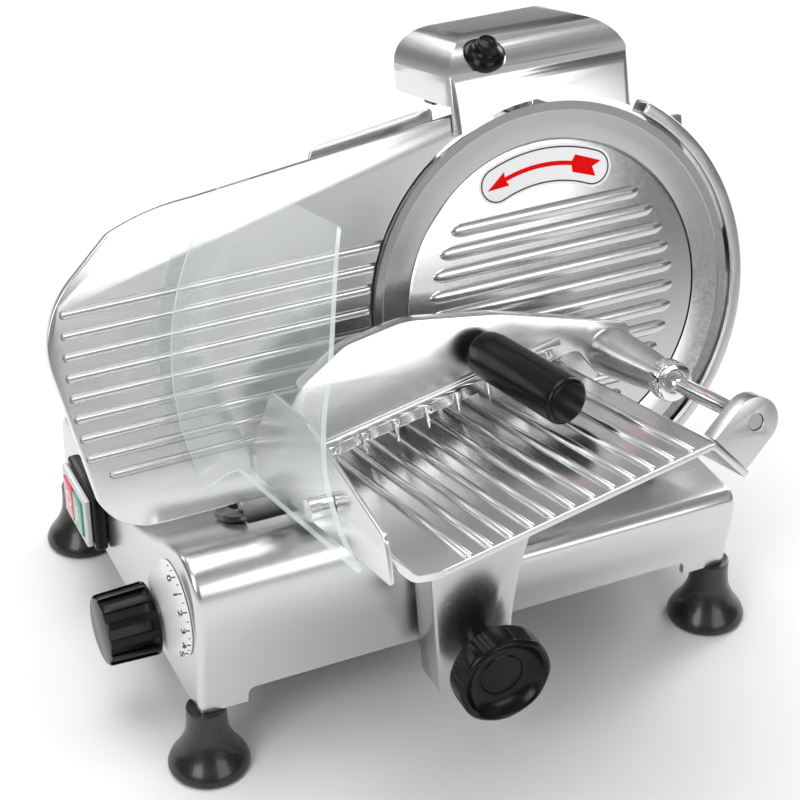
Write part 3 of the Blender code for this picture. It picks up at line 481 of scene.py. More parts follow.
black_print = surface("black_print", (0.01, 0.01, 0.01), 0.5, grain=0.05)
dial_white = surface("dial_white", (0.85, 0.85, 0.84), 0.32, grain=0.05, relief=0.004)
DIAL = Vector((-187.0, -62.0, 71.0))
RIM = (-104.2, 108.6)
RIM_RADIUS = 30.6
fan = [(-52.0, 95.0)] + arc(*RIM, RIM_RADIUS, 50, 238, 64) + [(-84.0, 58.5)]
shown("dial_face", slab("dial_face", fan, -188.5, -187.4, "x", soft=0.3, steps=2), dial_white, "base",
      "white_plastic", "dial_plate")
around = ring_tree("ring_of_marks")
dial_centre = (DIAL + TO_ROW) * MM
inward = Vector((0.0, 0.79, -0.613))
bm = bmesh.new()
for i in range(13):
    angle = math.radians(82.0 + 11.3 * i)
    edge = RIM_RADIUS - 0.8
    rim = Vector((-188.56, RIM[0] + edge * math.cos(angle), RIM[1] + edge * math.sin(angle)))
    long = i >= 2 and i % 2 == 0
    reach = inward * (10.0 if long else 5.5)
    across = Vector((0.0, 0.613, 0.79)) * (0.42 if long else 0.32)
    ring = [bm.verts.new(rim + reach * k + across * w) for k, w in ((0, 1), (0, -1), (1, -1), (1, 1))]
    bm.faces.new(ring)
    if long:
        letter = bpy.data.curves.new("numeral", "FONT")
        letter.body = str(i // 2 - 1)
        letter.size = 0.0085
        letter.extrude = 0.00003
        letter.offset = 0.00018
        letter.align_x = "CENTER"
        letter.align_y = "CENTER"
        written = bpy.data.objects.new("numeral", letter)
        scene.collection.objects.link(written)
        bpy.context.view_layer.update()
        numeral = bpy.data.meshes.new_from_object(
            written.evaluated_get(bpy.context.evaluated_depsgraph_get()))
        bpy.data.objects.remove(written, do_unlink=True)
        spot = rim + inward * 17.0
        face_left = Matrix(((0, 0, -1, 0), (-1, 0, 0, 0), (0, 1, 0, 0), (0, 0, 0, 1)))
        upright = Matrix.Rotation(math.radians(52.0), 4, "X")
        tall = Matrix.Diagonal((1.0, 1.7, 1.0, 1.0))
        numeral.transform(Matrix.Translation((spot + TO_ROW) * MM) @ upright @ face_left @ tall)
        shown(f"dial_number_{i // 2 - 1}", numeral, black_print, "base", "black_plastic")
bmesh.ops.solidify(bm, geom=bm.faces[:], thickness=0.04)
shown("dial_ticks", settled(bm, "dial_ticks"), black_print, "base", "black_plastic")
knob_round = [(0, -224.5), (20.6, -224.5), (22.2, -223.9), (22.9, -222.4), (23.2, -214), (23.7, -200),
              (24.0, -193), (23.7, -191.6), (22.8, -191), (6.4, -191), (6.4, -210), (0, -210)]
grip = turned("knob_body", knob_round, (0, -62, 71), "x", steps=96)
scoop = flowing([(-20, -21.4), (-10.0, -21.5), (-7.6, -22.3), (-6.0, -23.8), (-5.2, -27)], 5)
flute = slab("flute", [(-41, -27), (-41, -21.2)] + scoop, -3.3, 3.3, "u", Matrix.Identity(4))
flutes = repeated("flutes", around, flute, Count=12, First_Angle=math.radians(3), Step_Angle=math.radians(30),
                  Centre=dial_centre, Material=black_plastic)
shown("thickness_knob", carved(grip, [flutes]), black_plastic, "index", "black_plastic", "index_knob")


# ---------------------------------------------------------------- gauge plate
# The big grooved plate that the food rides against, pressed in anodised aluminium. It backs away
# from the blade on a cast arm that comes out of the base through a black rubber seal.
BLADE_TILT = math.radians(15.6)
BLADE = (WORLD @ Matrix.Translation(Vector((91.0, -61.0, 236.0)) * MM)
         @ Matrix.Rotation(-BLADE_TILT, 4, "X"))
sheet_metal = surface("sheet_metal", (0.76, 0.765, 0.77), 0.22, 1.0, grain=0.03, grain_size=(30, 1500, 1500),
                      relief=0.0008, tone=0.015)


def row_tree(name):
    """Geometry Nodes: an item repeated along a line, stretched along X to stay inside a circle."""
    tree = bpy.data.node_groups.new(name, "GeometryNodeTree")
    face = tree.interface
    for title, kind in (("Item", "NodeSocketObject"), ("Count", "NodeSocketInt"),
                        ("Start", "NodeSocketVector"),
                        ("Step", "NodeSocketVector"), ("Circle", "NodeSocketFloat"),
                        ("Item Half", "NodeSocketFloat"), ("Material", "NodeSocketMaterial")):
        face.new_socket(name=title, in_out="INPUT", socket_type=kind)
    face.new_socket(name="Geometry", in_out="OUTPUT", socket_type="NodeSocketGeometry")
    nodes = tree.nodes
    links = tree.links
    given = nodes.new("NodeGroupInput")
    out = nodes.new("NodeGroupOutput")
    points = nodes.new("GeometryNodeMeshLine")
    item = nodes.new("GeometryNodeObjectInfo")
    place = nodes.new("GeometryNodeInstanceOnPoints")
    where = nodes.new("GeometryNodeInputPosition")
    split = nodes.new("ShaderNodeSeparateXYZ")
    square = nodes.new("ShaderNodeMath")
    square.operation = "MULTIPLY"
    circle = nodes.new("ShaderNodeMath")
    circle.operation = "MULTIPLY"
    rest = nodes.new("ShaderNodeMath")
    rest.operation = "SUBTRACT"
    root = nodes.new("ShaderNodeMath")
    root.operation = "SQRT"
    share = nodes.new("ShaderNodeMath")
    share.operation = "DIVIDE"
    stretch = nodes.new("ShaderNodeCombineXYZ")
    stretch.inputs["Y"].default_value = 1.0
    stretch.inputs["Z"].default_value = 1.0
    real = nodes.new("GeometryNodeRealizeInstances")
    paint = nodes.new("GeometryNodeSetMaterial")
    links.new(given.outputs["Count"], points.inputs["Count"])
    links.new(given.outputs["Start"], points.inputs["Start Location"])
    links.new(given.outputs["Step"], points.inputs["Offset"])
    links.new(points.outputs[0], place.inputs["Points"])
    links.new(given.outputs["Item"], item.inputs["Object"])
    links.new(item.outputs["Geometry"], place.inputs["Instance"])
    links.new(where.outputs[0], split.inputs[0])
    links.new(split.outputs["Z"], square.inputs[0])
    links.new(split.outputs["Z"], square.inputs[1])
    links.new(given.outputs["Circle"], circle.inputs[0])
    links.new(given.outputs["Circle"], circle.inputs[1])
    links.new(circle.outputs[0], rest.inputs[0])
    links.new(square.outputs[0], rest.inputs[1])
    links.new(rest.outputs[0], root.inputs[0])
    links.new(root.outputs[0], share.inputs[0])
    links.new(given.outputs["Item Half"], share.inputs[1])
    links.new(share.outputs[0], stretch.inputs["X"])
    links.new(stretch.outputs[0], place.inputs["Scale"])
    links.new(place.outputs[0], real.inputs[0])
    links.new(real.outputs[0], paint.inputs["Geometry"])
    links.new(given.outputs["Material"], paint.inputs["Material"])
    links.new(paint.outputs[0], out.inputs[0])
    return tree


plate_line = [(-54.0, 128.3)] + arc(0, 0, 128.0, 115.0, 219.0, 90) + [(-240.0, -82.0)]
plate_line += arc(-279, -46, 36, 270, 200, 24) + arc(-270, 33, 58, 190, 130, 30) + arc(-222, -49, 160, 112,
                                                                                       92, 14)
plate = slab("plate", plate_line, 0.3, 6.3, "d", BLADE, soft=0.8, steps=3, from_angle=50)
grooves = []
for i in range(9):
    u = -44.0 + 12.8 * i
    reach = -326.0 + 0.0016 * (u - 20.0) ** 2 + (10.0 if u < -40 else 0.0)
    bm = bmesh.new()
    bmesh.ops.create_uvsphere(bm, u_segments=20, v_segments=12, radius=3.1,
                              matrix=Matrix.Translation((reach + 9, 0.1, u)) @ Matrix.Rotation(math.pi / 2,
                                                                                               4, "Y"))
    for v in bm.verts:
        if v.co.x > reach + 9.05:
            v.co.x = -58.0
    grooves.append(settled(bm, f"groove_{i}", BLADE))
shown("grooved_plate", carved(plate, grooves), sheet_metal, "gauge", "plate_aluminium", "gauge_plate")
shown("plate_arm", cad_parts["gauge_arm"].data.copy(), cast_metal, "gauge", "cast_aluminium",
      "gauge_arm")
for node, metal in (("gauge_guide_frame", dark_steel), ("index_shaft", bright_chrome)):
    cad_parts[node].data.materials.clear()
    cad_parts[node].data.materials.append(metal)
seal_seat = (WORLD @ Matrix.Translation(Vector((-115.5, -68.0, 136.0)) * MM)
             @ Matrix.Rotation(-math.atan2(20.0, 42.0), 4, "X"))
seal_ring = slab("seal", rounded([(-29, -27, 20), (29, -27, 20), (29, 25, 20), (-29, 25, 20)], 14), 0.6, 5.0,
                 "u", seal_seat, soft=1.6)
shown("arm_seal", carved(seal_ring, [block("seal_slot", (-134, -93, 60), (-97, -50, 220))]), foot_rubber,
      "base", "rubber", "slot_seal")


# ---------------------------------------------------------------- blade and its drive
# A hollow-ground knife of stainless steel, 250 mm across, bolted to a hub that runs in two ball
# bearings. A ribbed belt brings the motor's turning to the hub's pulley behind it.
def ground_steel(name, color, roughness):
    """Steel with the fine rings that grinding on a turning wheel leaves, drawn about the blade's axis."""
    made = surface(name, color, roughness, 1.0, grain=0.03, tone=0.015)
    nodes = made.node_tree.nodes
    links = made.node_tree.links
    centre = BLADE.translation
    where = nodes["Texture Coordinate"]
    aim = nodes.new("ShaderNodeMapping")
    aim.vector_type = "TEXTURE"
    aim.inputs["Location"].default_value = centre
    aim.inputs["Rotation"].default_value = (-BLADE_TILT, 0, 0)
    rings = nodes.new("ShaderNodeTexWave")
    rings.wave_type = "RINGS"
    rings.rings_direction = "Y"
    rings.inputs["Scale"].default_value = 160.0
    rings.inputs["Distortion"].default_value = 1.2
    rings.inputs["Detail"].default_value = 2.0
    rings.inputs["Detail Scale"].default_value = 0.5
    bump = nodes.new("ShaderNodeBump")
    bump.inputs["Distance"].default_value = 0.004 * MM
    links.new(where.outputs["Object"], aim.inputs["Vector"])
    links.new(aim.outputs[0], rings.inputs["Vector"])
    links.new(rings.outputs["Fac"], bump.inputs["Height"])
    links.new(bump.outputs[0], nodes["Principled BSDF"].inputs["Normal"])
    return made


blade_steel = ground_steel("blade_steel", (0.55, 0.555, 0.56), 0.2)
knife = [(125.0, 0.12), (125.0, 0.34), (124.2, 1.5), (121.5, 3.4), (115, 6.6), (108, 9.4), (18, 9.4),
         (18, 6.5), (101.8, 6.5), (101.8, 3.1), (102.4, 2.95), (112, 1.7), (119.0, 0.75), (119.4, 0.55)]
shown("slicing_blade", turned("slicing_blade", knife, (0, 0, 0), "d", BLADE, steps=160, sharp=12),
      blade_steel, "blade", "steel", "blade")
for node, metal in (("blade_hub", blade_steel), ("driven_pulley", cast_metal),
                    ("bearing_front", bright_chrome),
                    ("bearing_rear", bright_chrome), ("motor_pulley", blade_steel),
                    ("drive_belt", foot_rubber), ("motor", dark_steel)):
    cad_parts[node].data.materials.clear()
    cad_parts[node].data.materials.append(metal)


# ---------------------------------------------------------------- blade cover
# A round aluminium plate inside the blade's ring, cast with eleven round-ended ribs so that food
# does not stick to it, and a white label whose red arrow shows which way the blade turns.
cover_metal = ground_steel("cover_metal", (0.66, 0.665, 0.67), 0.22)
cover_line = [(0, 3.0), (99.2, 3.0), (100.4, 3.2), (101.0, 3.8), (101.0, 6.1), (0, 6.1)]
shown("cover_disc", turned("cover_disc", cover_line, (0, 0, 0), "d", BLADE, steps=128), cover_metal, "base",
      "plate_aluminium", "blade_cover")
row = row_tree("row_of_ribs")
RIB_CIRCLE = 87 * MM
RIB_PITCH = 13.2 * MM
bm = bmesh.new()
bmesh.ops.create_uvsphere(bm, u_segments=24, v_segments=16, radius=4.9,
                          matrix=Matrix.Rotation(math.pi / 2, 4, "Y"))
for v in bm.verts:
    v.co.x = v.co.x * 2.2 + (76.2 if v.co.x > 0.01 else -76.2 if v.co.x < -0.01 else 0.0)
    v.co.y *= 0.5
rib = settled(bm, "rib", Matrix.Identity(4), 60)
ribs = repeated("cover_ribs", row, rib, Count=11, Start=(0, 3.5 * MM, 56.0 * MM), Step=(0, 0, -RIB_PITCH),
                Circle=RIB_CIRCLE, Item_Half=RIB_CIRCLE, Material=cover_metal)
ribs.transform(BLADE)
ribs.shade_smooth()
shown("cover_ribs", ribs, cover_metal, "base", "plate_aluminium")
red_print = surface("red_print", (0.85, 0.0, 0.0), 0.5, grain=0.04, tone=0.0)
red_print.node_tree.nodes["Principled BSDF"].inputs["Specular IOR Level"].default_value = 0.1


def band(name, inner, outer, start, stop, low, high):
    """A curved strip about the blade's centre with half-round ends."""
    middle = (inner + outer) / 2
    half = (outer - inner) / 2
    line = arc(0, 0, outer, start, stop, 40)
    end = arc(0, 0, middle, stop, stop, 1)[0]
    line += arc(end[0], end[1], half, stop, stop + 180, 16)[1:-1]
    line += arc(0, 0, inner, stop, start, 40)
    end = arc(0, 0, middle, start, start, 1)[0]
    line += arc(end[0], end[1], half, start + 180, start + 360, 16)[1:-1]
    return slab(name, line, low, high, "d", BLADE)


label_paper = surface("label_paper", (0.95, 0.95, 0.95), 0.5, grain=0.04, tone=0.0)
shown("label_white", band("label_white", 72.5, 98.0, 65.5, 112, 2.86, 2.98), label_paper, "base",
      "white_plastic")
shown("label_line", carved(band("label_line", 74.1, 96.4, 65.5, 112, 2.74, 2.84),
                           [band("label_line_inside", 75.0, 95.5, 65.5, 112, 2.0, 3.5)]), black_print, "base",
      "black_plastic")
# The arrow bends with the label: a barbed head towards the blade's turn and a notched tail block.
corners = [arc(0, 0, radius, angle, angle, 1)[0] for radius, angle in
           ((85.6, 117.0), (90.4, 107.0), (87.0, 107.6),
            (91.2, 75.0), (90.8, 63.0), (85.6, 66.0), (80.4, 63.0), (80.0, 75.0),
            (84.2, 107.6), (80.8, 107.0))]
arrow = corners[:3] + arc(0, 0, 87.0, 106, 76, 16)
arrow += corners[3:8] + arc(0, 0, 84.2, 76, 106, 16) + corners[8:]
shown("turn_arrow", slab("turn_arrow", arrow, 2.70, 2.82, "d", BLADE), red_print, "base", "red_plastic")


# ---------------------------------------------------------------- head, ring guard and drive housing
# The cast head that carries the blade's bearings, a ring guard round the blade's right side, and
# the housing over belt and motor. The cover's tie rod comes out behind in a black hand knob.
def dressed(node, soft=0.0, steps=3, sharp=35.0):
    """A copy of a solid node's mesh, merged and with its sharp edges rounded, ready for a finish."""
    bm = bmesh.new()
    bm.from_mesh(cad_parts[node].data)
    bm.transform(Matrix.Scale(1000.0, 4))
    bmesh.ops.remove_doubles(bm, verts=bm.verts[:], dist=0.002)
    bmesh.ops.dissolve_limit(bm, angle_limit=math.radians(1.0), verts=bm.verts[:], edges=bm.edges[:])
    if soft:
        edges = [e for e in bm.edges if len(e.link_faces) == 2 and e.calc_face_angle(0.0) > math.radians(40)]
        bmesh.ops.bevel(bm, geom=edges, offset=soft, segments=steps, profile=0.5, affect="EDGES",
                        clamp_overlap=True)
    return settled(bm, node + "_dressed", Matrix.Identity(4), sharp)


shown("head_plate", dressed("head_casting", 0.8), cast_metal, "base", "cast_aluminium", "head_casting")
guard_line = arc(0, 0, 136.0, -62, 56, 110) + arc(0, 0, 127.5, 56, -62, 110)
shown("blade_ring_guard", slab("blade_ring_guard", guard_line, -2.0, 14.3, "d", BLADE, soft=1.6, steps=4),
      cast_metal, "base", "cast_aluminium", "guard_ring")
shell_line = rounded([(-60, -220, 12), (92, -220, 12), (92, 66, 26), (-60, 66, 26)], 14)
shell = slab("shell", shell_line, 0, 166, "d", BLADE, soft=12.0, steps=8)
inner_line = rounded([(-56, -216, 8), (88, -216, 8), (88, 62, 22), (-56, 62, 22)], 12)
shell = carved(shell, [slab("shell_hollow", inner_line, -10, 162, "d", BLADE),
                       block("shell_front", (-100, -20, -260), (150, 20.3, 100), BLADE),
                       block("shell_below", (-200, -200, -100), (400, 300, 109.3)),
                       turned("rod_outlet", [(0, 100), (10.6, 100), (10.6, 200), (0, 200)], (0, 0, 0), "d",
                              BLADE)])
shown("drive_cover", shell, cast_metal, "base", "cast_aluminium", "drive_housing")
screw = turned("screw", [(0, 167.9), (1.2, 167.9), (1.25, 168.6), (3.2, 168.5), (4.4, 167.6), (4.8, 166.1),
                         (0, 166.1)],
               (0, 0, 0), "d", Matrix.Identity(4), steps=32)
for title, across in (("housing_screws_left", -44.0), ("housing_screws_right", 76.0)):
    screws = repeated(title, row, screw, Count=3, Start=(across * MM, 0, 44 * MM), Step=(0, 0, -66 * MM),
                      Circle=9.0, Item_Half=9.0, Material=bright_chrome)
    screws.transform(BLADE)
    shown(title, screws, bright_chrome, "base", "chrome")
deflector_line = rounded([(-146, 120.3, 8), (-62, 131, 3), (-62, -70, 3), (-146, -70, 14)], 8)
shown("deflector_sheet", slab("deflector_sheet", deflector_line, 21.6, 24.6, "d", BLADE, soft=0.9),
      sheet_metal, "base", "plate_aluminium", "slice_deflector")
shown("tie_rod", turned("tie_rod", [(0, 6.4), (5.4, 6.4), (6, 7), (6, 170), (0, 170)], (0, 0, 0), "d", BLADE),
      bright_chrome, "release", "chrome", "cover_tie_rod")
release_line = [(0, 170.4), (9.6, 170.4), (10, 170.8), (12, 175), (15.5, 177.4), (18.2, 179.2), (19, 181.4),
                (19, 192.4), (18.2, 194.6), (15.6, 196), (9, 195), (0, 194.4)]
shown("release_knob", turned("release_knob", release_line, (0, 0, 0), "d", BLADE), black_plastic, "release",
      "black_plastic", "cover_knob")


# ---------------------------------------------------------------- carriage and its lock knob
# The carriage runs on the rod inside the base. A cast arm rises from it in front to hold the
# tray, clamped by a round black hand knob with ribbed sides and a dished face.
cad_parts["carriage_slide"].data.materials.clear()
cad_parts["carriage_slide"].data.materials.append(cast_metal)
shown("carriage_arm", dressed("support_arm", 1.2), cast_metal, "carriage", "cast_aluminium", "support_arm")
shown("lock_stud_rod", turned("lock_stud_rod", [(0, -199), (4, -199), (4, -154.6), (3.4, -154), (0, -154)],
                              (-15, 0, 72), "d", steps=40), bright_chrome, "lock", "chrome", "lock_stud")
bm = bmesh.new()
around_count = 192
profile = [(0.0, -204.6), (13.0, -204.6), (13.6, -204.4), (14.0, -203.9), (15.0, -203.4), (18.5, -203.8),
           (22.0, -205.6), (24.6, -208.0), (0.845, -210.2), (0.875, -211.4), (0.91, -212.0), (0.95, -211.6),
           (0.993, -210.2), (1.0, -208.4), (1.0, -197.0), (0.985, -194.4),
           (0.93, -193.1), (15.0, -193.0), (13.0, -191.6), (13.0, -179.7), (4.7, -179.6), (4.7, -199.4),
           (0.0, -199.4)]
rows = []
for radius, along in profile:
    line = []
    for i in range(around_count):
        angle = 2 * math.pi * i / around_count
        edge = 30.6 + 0.2 * math.cos(8 * angle)
        if -210.0 < along < -195.0 and radius == 1.0 and math.cos(8 * angle) < -0.2:
            edge += 0.5 * math.cos(64 * angle) - 0.5
        reach = radius * edge if 0.5 < radius <= 1.0 else radius
        line.append(bm.verts.new((-15 + reach * math.cos(angle), along, 72 + reach * math.sin(angle))))
    rows.append(line)
for first, second in zip(rows, rows[1:]):
    for i in range(around_count):
        j = (i + 1) % around_count
        bm.faces.new((first[i], first[j], second[j], second[i]))
bmesh.ops.remove_doubles(bm, verts=bm.verts[:], dist=0.0005)
shown("carriage_lock_knob", settled(bm, "carriage_lock_knob", sharp=42), black_plastic, "lock",
      "black_plastic", "lock_knob")


# ---------------------------------------------------------------- food tray and side fence
# The ribbed tray is bent from thick aluminium sheet: a fold up at the left that carries the
# flat side fence, and a flange turned down along its right edge for the pusher's rod.
TRAY_SLOPE = math.radians(10.2)
TRAY = BLADE @ Matrix.Rotation(-TRAY_SLOPE, 4, "Y")
tray_line = rounded([(-213.3, -17.7, 0), (-216.6, -20.0, 0), (-207.4, -35.2, 4), (-21.0, -35.2, 3),
                     (-6.4, -59.8, 0), (-2.9, -57.6, 0), (-18.8, -31.2, 5), (-204.8, -31.2, 3)], 8)
tray_sheet = slab("tray_sheet", tray_line, -210.0, -12.0, "d", TRAY, soft=0.7, steps=3, from_angle=45)
corner = [(-240, -214)] + arc(-188, -186, 24, 270, 180, 24) + [(-240, -186)]
shown("tray_plate", carved(tray_sheet, [slab("tray_corner", corner, -60, 0, "u", TRAY)]), sheet_metal,
      "carriage", "plate_aluminium", "food_tray")
bm = bmesh.new()
bmesh.ops.create_uvsphere(bm, u_segments=24, v_segments=12, radius=2.7,
                          matrix=Matrix.Rotation(math.pi / 2, 4, "X"))
for v in bm.verts:
    v.co.y = v.co.y * 0.35 + (95.6 if v.co.y > 0.01 else -95.6 if v.co.y < -0.01 else 0.0)
    v.co.z *= 0.8
tray_rib = settled(bm, "tray_rib", Matrix.Identity(4), 60)
tray_ribs = repeated("tray_ribs", row, tray_rib, Count=12, Start=(-33.5 * MM, -112.6 * MM, -31.3 * MM),
                     Step=(-12.9 * MM, 0, 0), Circle=9.0, Item_Half=9.0, Material=sheet_metal)
tray_ribs.transform(TRAY)
tray_ribs.shade_smooth()
shown("tray_rib_set", tray_ribs, sheet_metal, "carriage", "plate_aluminium")
fence_line = rounded([(210, -66, 3), (209, -38, 6), (160, -20, 20), (110, -2, 20), (52, 1, 8), (7, -44, 6),
                      (7, -66, 3)], 8)
shown("fence", slab("fence", [(-w, u) for w, u in fence_line], -214.4, -211.4, "x", BLADE, soft=0.9),
      sheet_metal, "carriage", "plate_aluminium", "side_fence")


# ---------------------------------------------------------------- finger guard
# A clear acrylic sheet rolled to a curve, with a flange bent out along the edge that faces the
# gauge plate. A knurled chrome boss holds it off the side fence.
clear_sheet = surface("clear_sheet", (0.86, 0.9, 0.9), 0.06, grain=0.02, grain_size=(14, 14, 14), tone=0.01)
clear_sheet.node_tree.nodes["Principled BSDF"].inputs["Alpha"].default_value = 0.13
clear_edge = surface("clear_edge", (0.8, 0.86, 0.86), 0.1, grain=0.03, grain_size=(40, 40, 40), tone=0.01)
clear_edge.node_tree.nodes["Principled BSDF"].inputs["Alpha"].default_value = 0.62
bm = bmesh.new()
rows = []
for i in range(73):
    angle = math.radians(133.0 + 68.0 * i / 72)
    u = 154.0 * math.sin(angle)
    front = 200.0 + 0.10 * max(-u, 0.0) - 0.0125 * max(u - 50.0, 0.0) ** 2 - 0.25 * max(u - 50.0, 0.0)
    bend = [(174.0, 13.0), (158.6, 13.0), (157.0, 13.3), (155.6, 14.2), (154.6, 15.8), (154.1, 18.0),
            (154.0, 22.0)]
    bend += [(154.0, 22.0 + (front - 22.0) * k / 12) for k in range(1, 13)]
    rows.append([bm.verts.new((-86.0 + r * math.cos(angle), -w, r * math.sin(angle))) for r, w in bend])
for upper, lower in zip(rows, rows[1:]):
    for i in range(len(upper) - 1):
        bm.faces.new((upper[i], lower[i], lower[i + 1], upper[i + 1]))
bmesh.ops.recalc_face_normals(bm, faces=bm.faces[:])
bm.verts.index_update()
first_side = set(bm.verts)
bmesh.ops.solidify(bm, geom=bm.faces[:], thickness=2.8)
for face in bm.faces:
    face.material_index = 1 if 0 < sum(v in first_side for v in face.verts) < 4 else 0
sheet = settled(bm, "guard_sheet", BLADE, 50)
rim = [face.index for face in sheet.polygons if face.material_index == 1]
shown("guard_sheet", sheet, clear_sheet, "carriage", "clear_plastic", "finger_guard")
sheet.materials.append(clear_edge)
for i in rim:
    sheet.polygons[i].material_index = 1
boss_line = [(0, -214.7), (5.6, -214.7), (6.0, -215.1), (6.0, -223.6), (6.5, -224), (6.5, -229.0),
             (6.1, -229.4), (0, -229.4)]
shown("boss", turned("boss", boss_line, (0, -136, -42), "x", BLADE), bright_chrome, "carriage", "chrome",
      "guard_boss")
tooth = block("tooth", (-223.0, -0.28, 5.7), (-215.6, 0.28, 6.25), Matrix.Identity(4))
knurl = repeated("boss_knurl", around, tooth, Count=36, First_Angle=0.0, Step_Angle=math.radians(10),
                 Centre=(0, -136 * MM, -42 * MM), Material=bright_chrome)
knurl.transform(BLADE)
shown("boss_knurl", knurl, bright_chrome, "carriage", "chrome")


# ---------------------------------------------------------------- pusher
# The meat pusher slides and lifts on a chrome rod held between two cast brackets: an aluminium
# plate with a bent lip, steel spikes, a tapering cast sleeve and a turned black handle.
for node in ("rod_bracket_front", "rod_bracket_rear"):
    shown(node + "_casting", dressed(node, 1.4, 4), cast_metal, "carriage", "cast_aluminium", node)
ROD = (15.4, 0, -30)
shown("rod", turned("rod", [(0, -206), (4.6, -206), (5, -205.6), (5, -14.9), (4.6, -14.5), (0, -14.5)],
                    ROD, "d", BLADE), bright_chrome, "carriage", "chrome", "pusher_rod")
pale_nylon = surface("pale_nylon", (0.8, 0.79, 0.75), 0.45, grain=0.05)
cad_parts["pusher_bush"].data.materials.clear()
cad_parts["pusher_bush"].data.materials.append(pale_nylon)
sleeve_line = [(6.9, -104.6), (7.2, -105), (9.9, -105), (10.5, -104.4), (10.7, -100), (12.2, -84),
               (14.2, -60), (15, -48), (15, -39.4), (14.2, -38.3), (6.9, -38.3)]
shown("sleeve", turned("sleeve", sleeve_line, ROD, "d", BLADE), cast_metal, "pusher",
      "cast_aluminium", "pusher_sleeve")
collar_line = [(6.9, -117.6), (7.4, -118), (10.6, -118), (11.6, -117.4), (12.1, -116.2), (12.1, -107.2),
               (11.4, -105.8), (10.6, -105.3), (6.9, -105.3)]
shown("sleeve_collar", turned("sleeve_collar", collar_line, ROD, "d", BLADE), bright_chrome,
      "pusher", "chrome", "sleeve_ring")
tooth = block("tooth", (-115.8, -0.4, 11.8), (-107.6, 0.4, 12.45), Matrix.Identity(4))
knurl = repeated("collar_knurl", around, tooth, Count=40, First_Angle=0.0, Step_Angle=math.radians(9),
                 Centre=(0, 0, 0), Material=bright_chrome)
knurl.transform(BLADE @ Matrix.Translation(Vector(ROD) * MM) @ Matrix.Rotation(math.pi / 2, 4, "Z"))
shown("collar_knurl", knurl, bright_chrome, "pusher", "chrome")
crest = [(-200, -22, 0), (-188, -4, 8), (-160, 13, 30), (-118, 20, 60), (-60, 11, 60), (4, -7, 20),
         (30, -14, 10), (33, -38, 10), (8, -46, 6), (-8, -24, 6), (-100, -40, 0), (-196, -56.5, 6)]
press = slab("press", rounded(crest, 12), -38, -34, "d", BLADE, soft=0.6)
upper = [p for p in rounded(crest, 12) if p[1] > -20 and -199 < p[0] < 4]
press_bore = turned("press_bore", [(0, -60), (7, -60), (7, 0), (0, 0)], ROD, "d", BLADE)
shown("press_plate", carved(press, [press_bore]), sheet_metal, "pusher", "plate_aluminium", "pusher_plate")
lip = upper + [(x, u - 3.0) for x, u in reversed(upper)]
shown("press_lip", slab("press_lip", lip, -36.6, -26.2, "d", BLADE, soft=1.0), sheet_metal, "pusher",
      "plate_aluminium")
comb = slab("comb", [(-182, -46.2), (-182, -42.2), (-20, -13.2), (-20, -17.2)], -41.8, -38.3, "d", BLADE,
            soft=0.5)
shown("spike_bar", comb, bright_chrome, "pusher", "chrome", "pusher_spikes")
spike = turned("spike", [(0, 2.2), (0.35, 2.5), (1.5, 7), (1.5, 13.6), (2.9, 13.8), (3.1, 14.2), (3.1, 18.2),
                         (0, 18.2)],
               (0, 0, 0), "u", Matrix.Identity(4), steps=20)
slope = math.tan(TRAY_SLOPE)
low_end = -31.2 / math.cos(TRAY_SLOPE) - 176.0 * slope
spikes = repeated("spikes", row, spike, Count=8, Start=(-176 * MM, -40.4 * MM, low_end * MM),
                  Step=(21 * MM, 0, 21 * slope * MM), Circle=9.0, Item_Half=9.0, Material=bright_chrome)
spikes.transform(BLADE)
shown("spike_set", spikes, bright_chrome, "pusher", "chrome")
handle_base = Vector((-76.0, -38.5, -6.0))
handle_way = Vector((-59.0, -122.0, -23.0)) - handle_base
HANDLE = (BLADE @ Matrix.Translation(handle_base * MM)
          @ handle_way.normalized().to_track_quat("Z", "Y").to_matrix().to_4x4())
reach = handle_way.length
handle_line = [(0, 7.2), (11.4, 7.2)] + flowing([(11.9, 7.6), (13.6, 9.4), (14.6, 15), (15, 26),
                                                 (15, reach - 6)], 6)
handle_line += arc(11.4, reach - 1.6, 3.6, 0, 90, 8) + [(0, reach + 2.0)]
shown("handle", turned("handle", handle_line, (0, 0, 0), "u", HANDLE), black_plastic, "pusher",
      "black_plastic", "pusher_handle")


# ---------------------------------------------------------------- sharpener
# The sharpener's hood is one pressed and polished aluminium cover over two grinding wheels. It
# lifts on a chrome post, and a small black knob at its front left clamps it down.
def hood_form(name, inset, low):
    """Three rounded outlines crossed: the hood's outside, or with an inset its hollow."""
    left, right, front, rear, top = -61.0 + inset, 63.6 - inset, -4.0 + inset, 84.0 - inset, 172.0 - inset
    side = rounded([(front, low, 0), (rear, low, 0), (rear, top, 12 - inset), (front, top, 31 - inset)], 20)
    facing = rounded([(left, low, 0), (right, low, 0), (right, top, 28 - inset), (left, top, 30 - inset)], 20)
    plan = rounded([(left, front, 8 - inset), (right, front, 4.5 - inset), (right, rear, 8 - inset),
                    (left, rear, 8 - inset)], 8)
    form = slab(name, side, left - 5, right + 5, "x", BLADE)
    return carved(form, [slab("facing", facing, front - 5, rear + 5, "d", BLADE),
                         slab("plan", plan, low - 5, top + 5, "u", BLADE)], "INTERSECT")


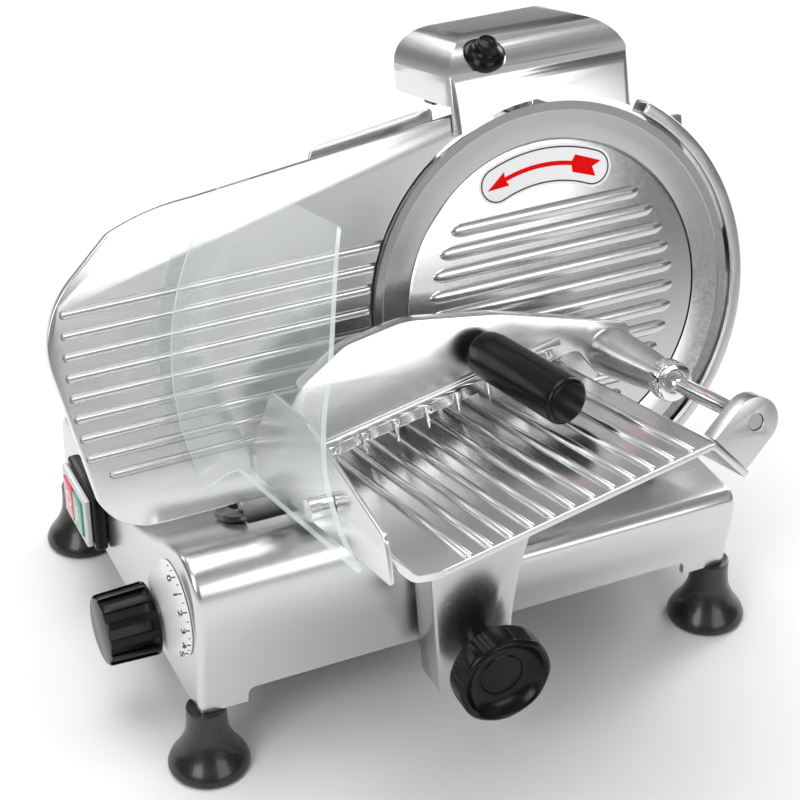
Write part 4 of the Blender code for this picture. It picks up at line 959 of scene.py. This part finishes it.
STONE_U = 152
KNOB = (BLADE @ Matrix.Translation(Vector((-31.5, 3.6, 160.6)) * MM)
        @ Matrix.Rotation(math.radians(38.0), 4, "X"))
hood = carved(hood_form("hood", 0.0, 104.0), [
    hood_form("hood_hollow", 3.0, 90.0),
    block("hood_under", (-120, -0.9, 60), (120, 200, 134), BLADE),
    turned("hood_clearance", [(0, -30), (129, -30), (129, 30), (0, 30)], (0, 0, 0), "d", BLADE, steps=160),
    turned("knob_pocket", [(0, -2.9), (13.6, -2.9), (13.6, 20), (0, 20)], (0, 0, 0), "u", KNOB),
    turned("knob_hole", [(0, -14), (4.6, -14), (4.6, 20), (0, 20)], (0, 0, 0), "u", KNOB),
    turned("grinding_hole", [(0, 70), (8.5, 70), (8.5, 130), (0, 130)], (-24, 0, STONE_U), "d", BLADE),
    turned("truing_hole", [(0, 70), (8.5, 70), (8.5, 130), (0, 130)], (38, 0, STONE_U), "d", BLADE)])
shown("hood_cover", hood, sheet_metal, "sharpener", "plate_aluminium", "sharpener_hood")
clamp_line = [(0, -6.5), (4, -6.5), (4, -2.6), (12.3, -2.6), (12.5, -2.2), (12.5, 0.6)]
clamp_line += flowing([(12.4, 1.0), (10.6, 3.4), (8.0, 5.4), (6.6, 8.0), (6.2, 10.2)], 6)
clamp_line += [(5.7, 11.1), (5.0, 11.3), (4.7, 10.7), (3.6, 10.8), (2.0, 11.2), (0, 11.4)]
shown("hood_clamp_knob", turned("hood_clamp_knob", clamp_line, (0, 0, 0), "u", KNOB), black_plastic,
      "hood_knob", "black_plastic", "hood_knob")
grit = surface("grit", (0.45, 0.33, 0.28), 0.85, grain=0.1, grain_size=(1500, 1500, 1500), relief=0.12,
               tone=0.12)
for node, metal in (("sharpener_frame", black_plastic), ("sharpener_post", bright_chrome),
                    ("post_socket", cast_metal), ("grinding_stone", grit), ("truing_stone", grit)):
    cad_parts[node].data.materials.clear()
    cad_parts[node].data.materials.append(metal)
for title, body, across in (("grinding", "grinder", -24.0), ("truing", "truer", 38.0)):
    press_line = [(0, 15.5), (3, 15.5), (3, 79), (7.4, 79), (8, 79.6), (8, 102.4), (7.2, 104.2), (5.6, 104.5),
                  (3, 103.9), (0, 103.7)]
    shown(title + "_push", turned(title + "_push", press_line, (across, 0, STONE_U), "d", BLADE, steps=48),
          black_plastic, body, "black_plastic", title + "_button")
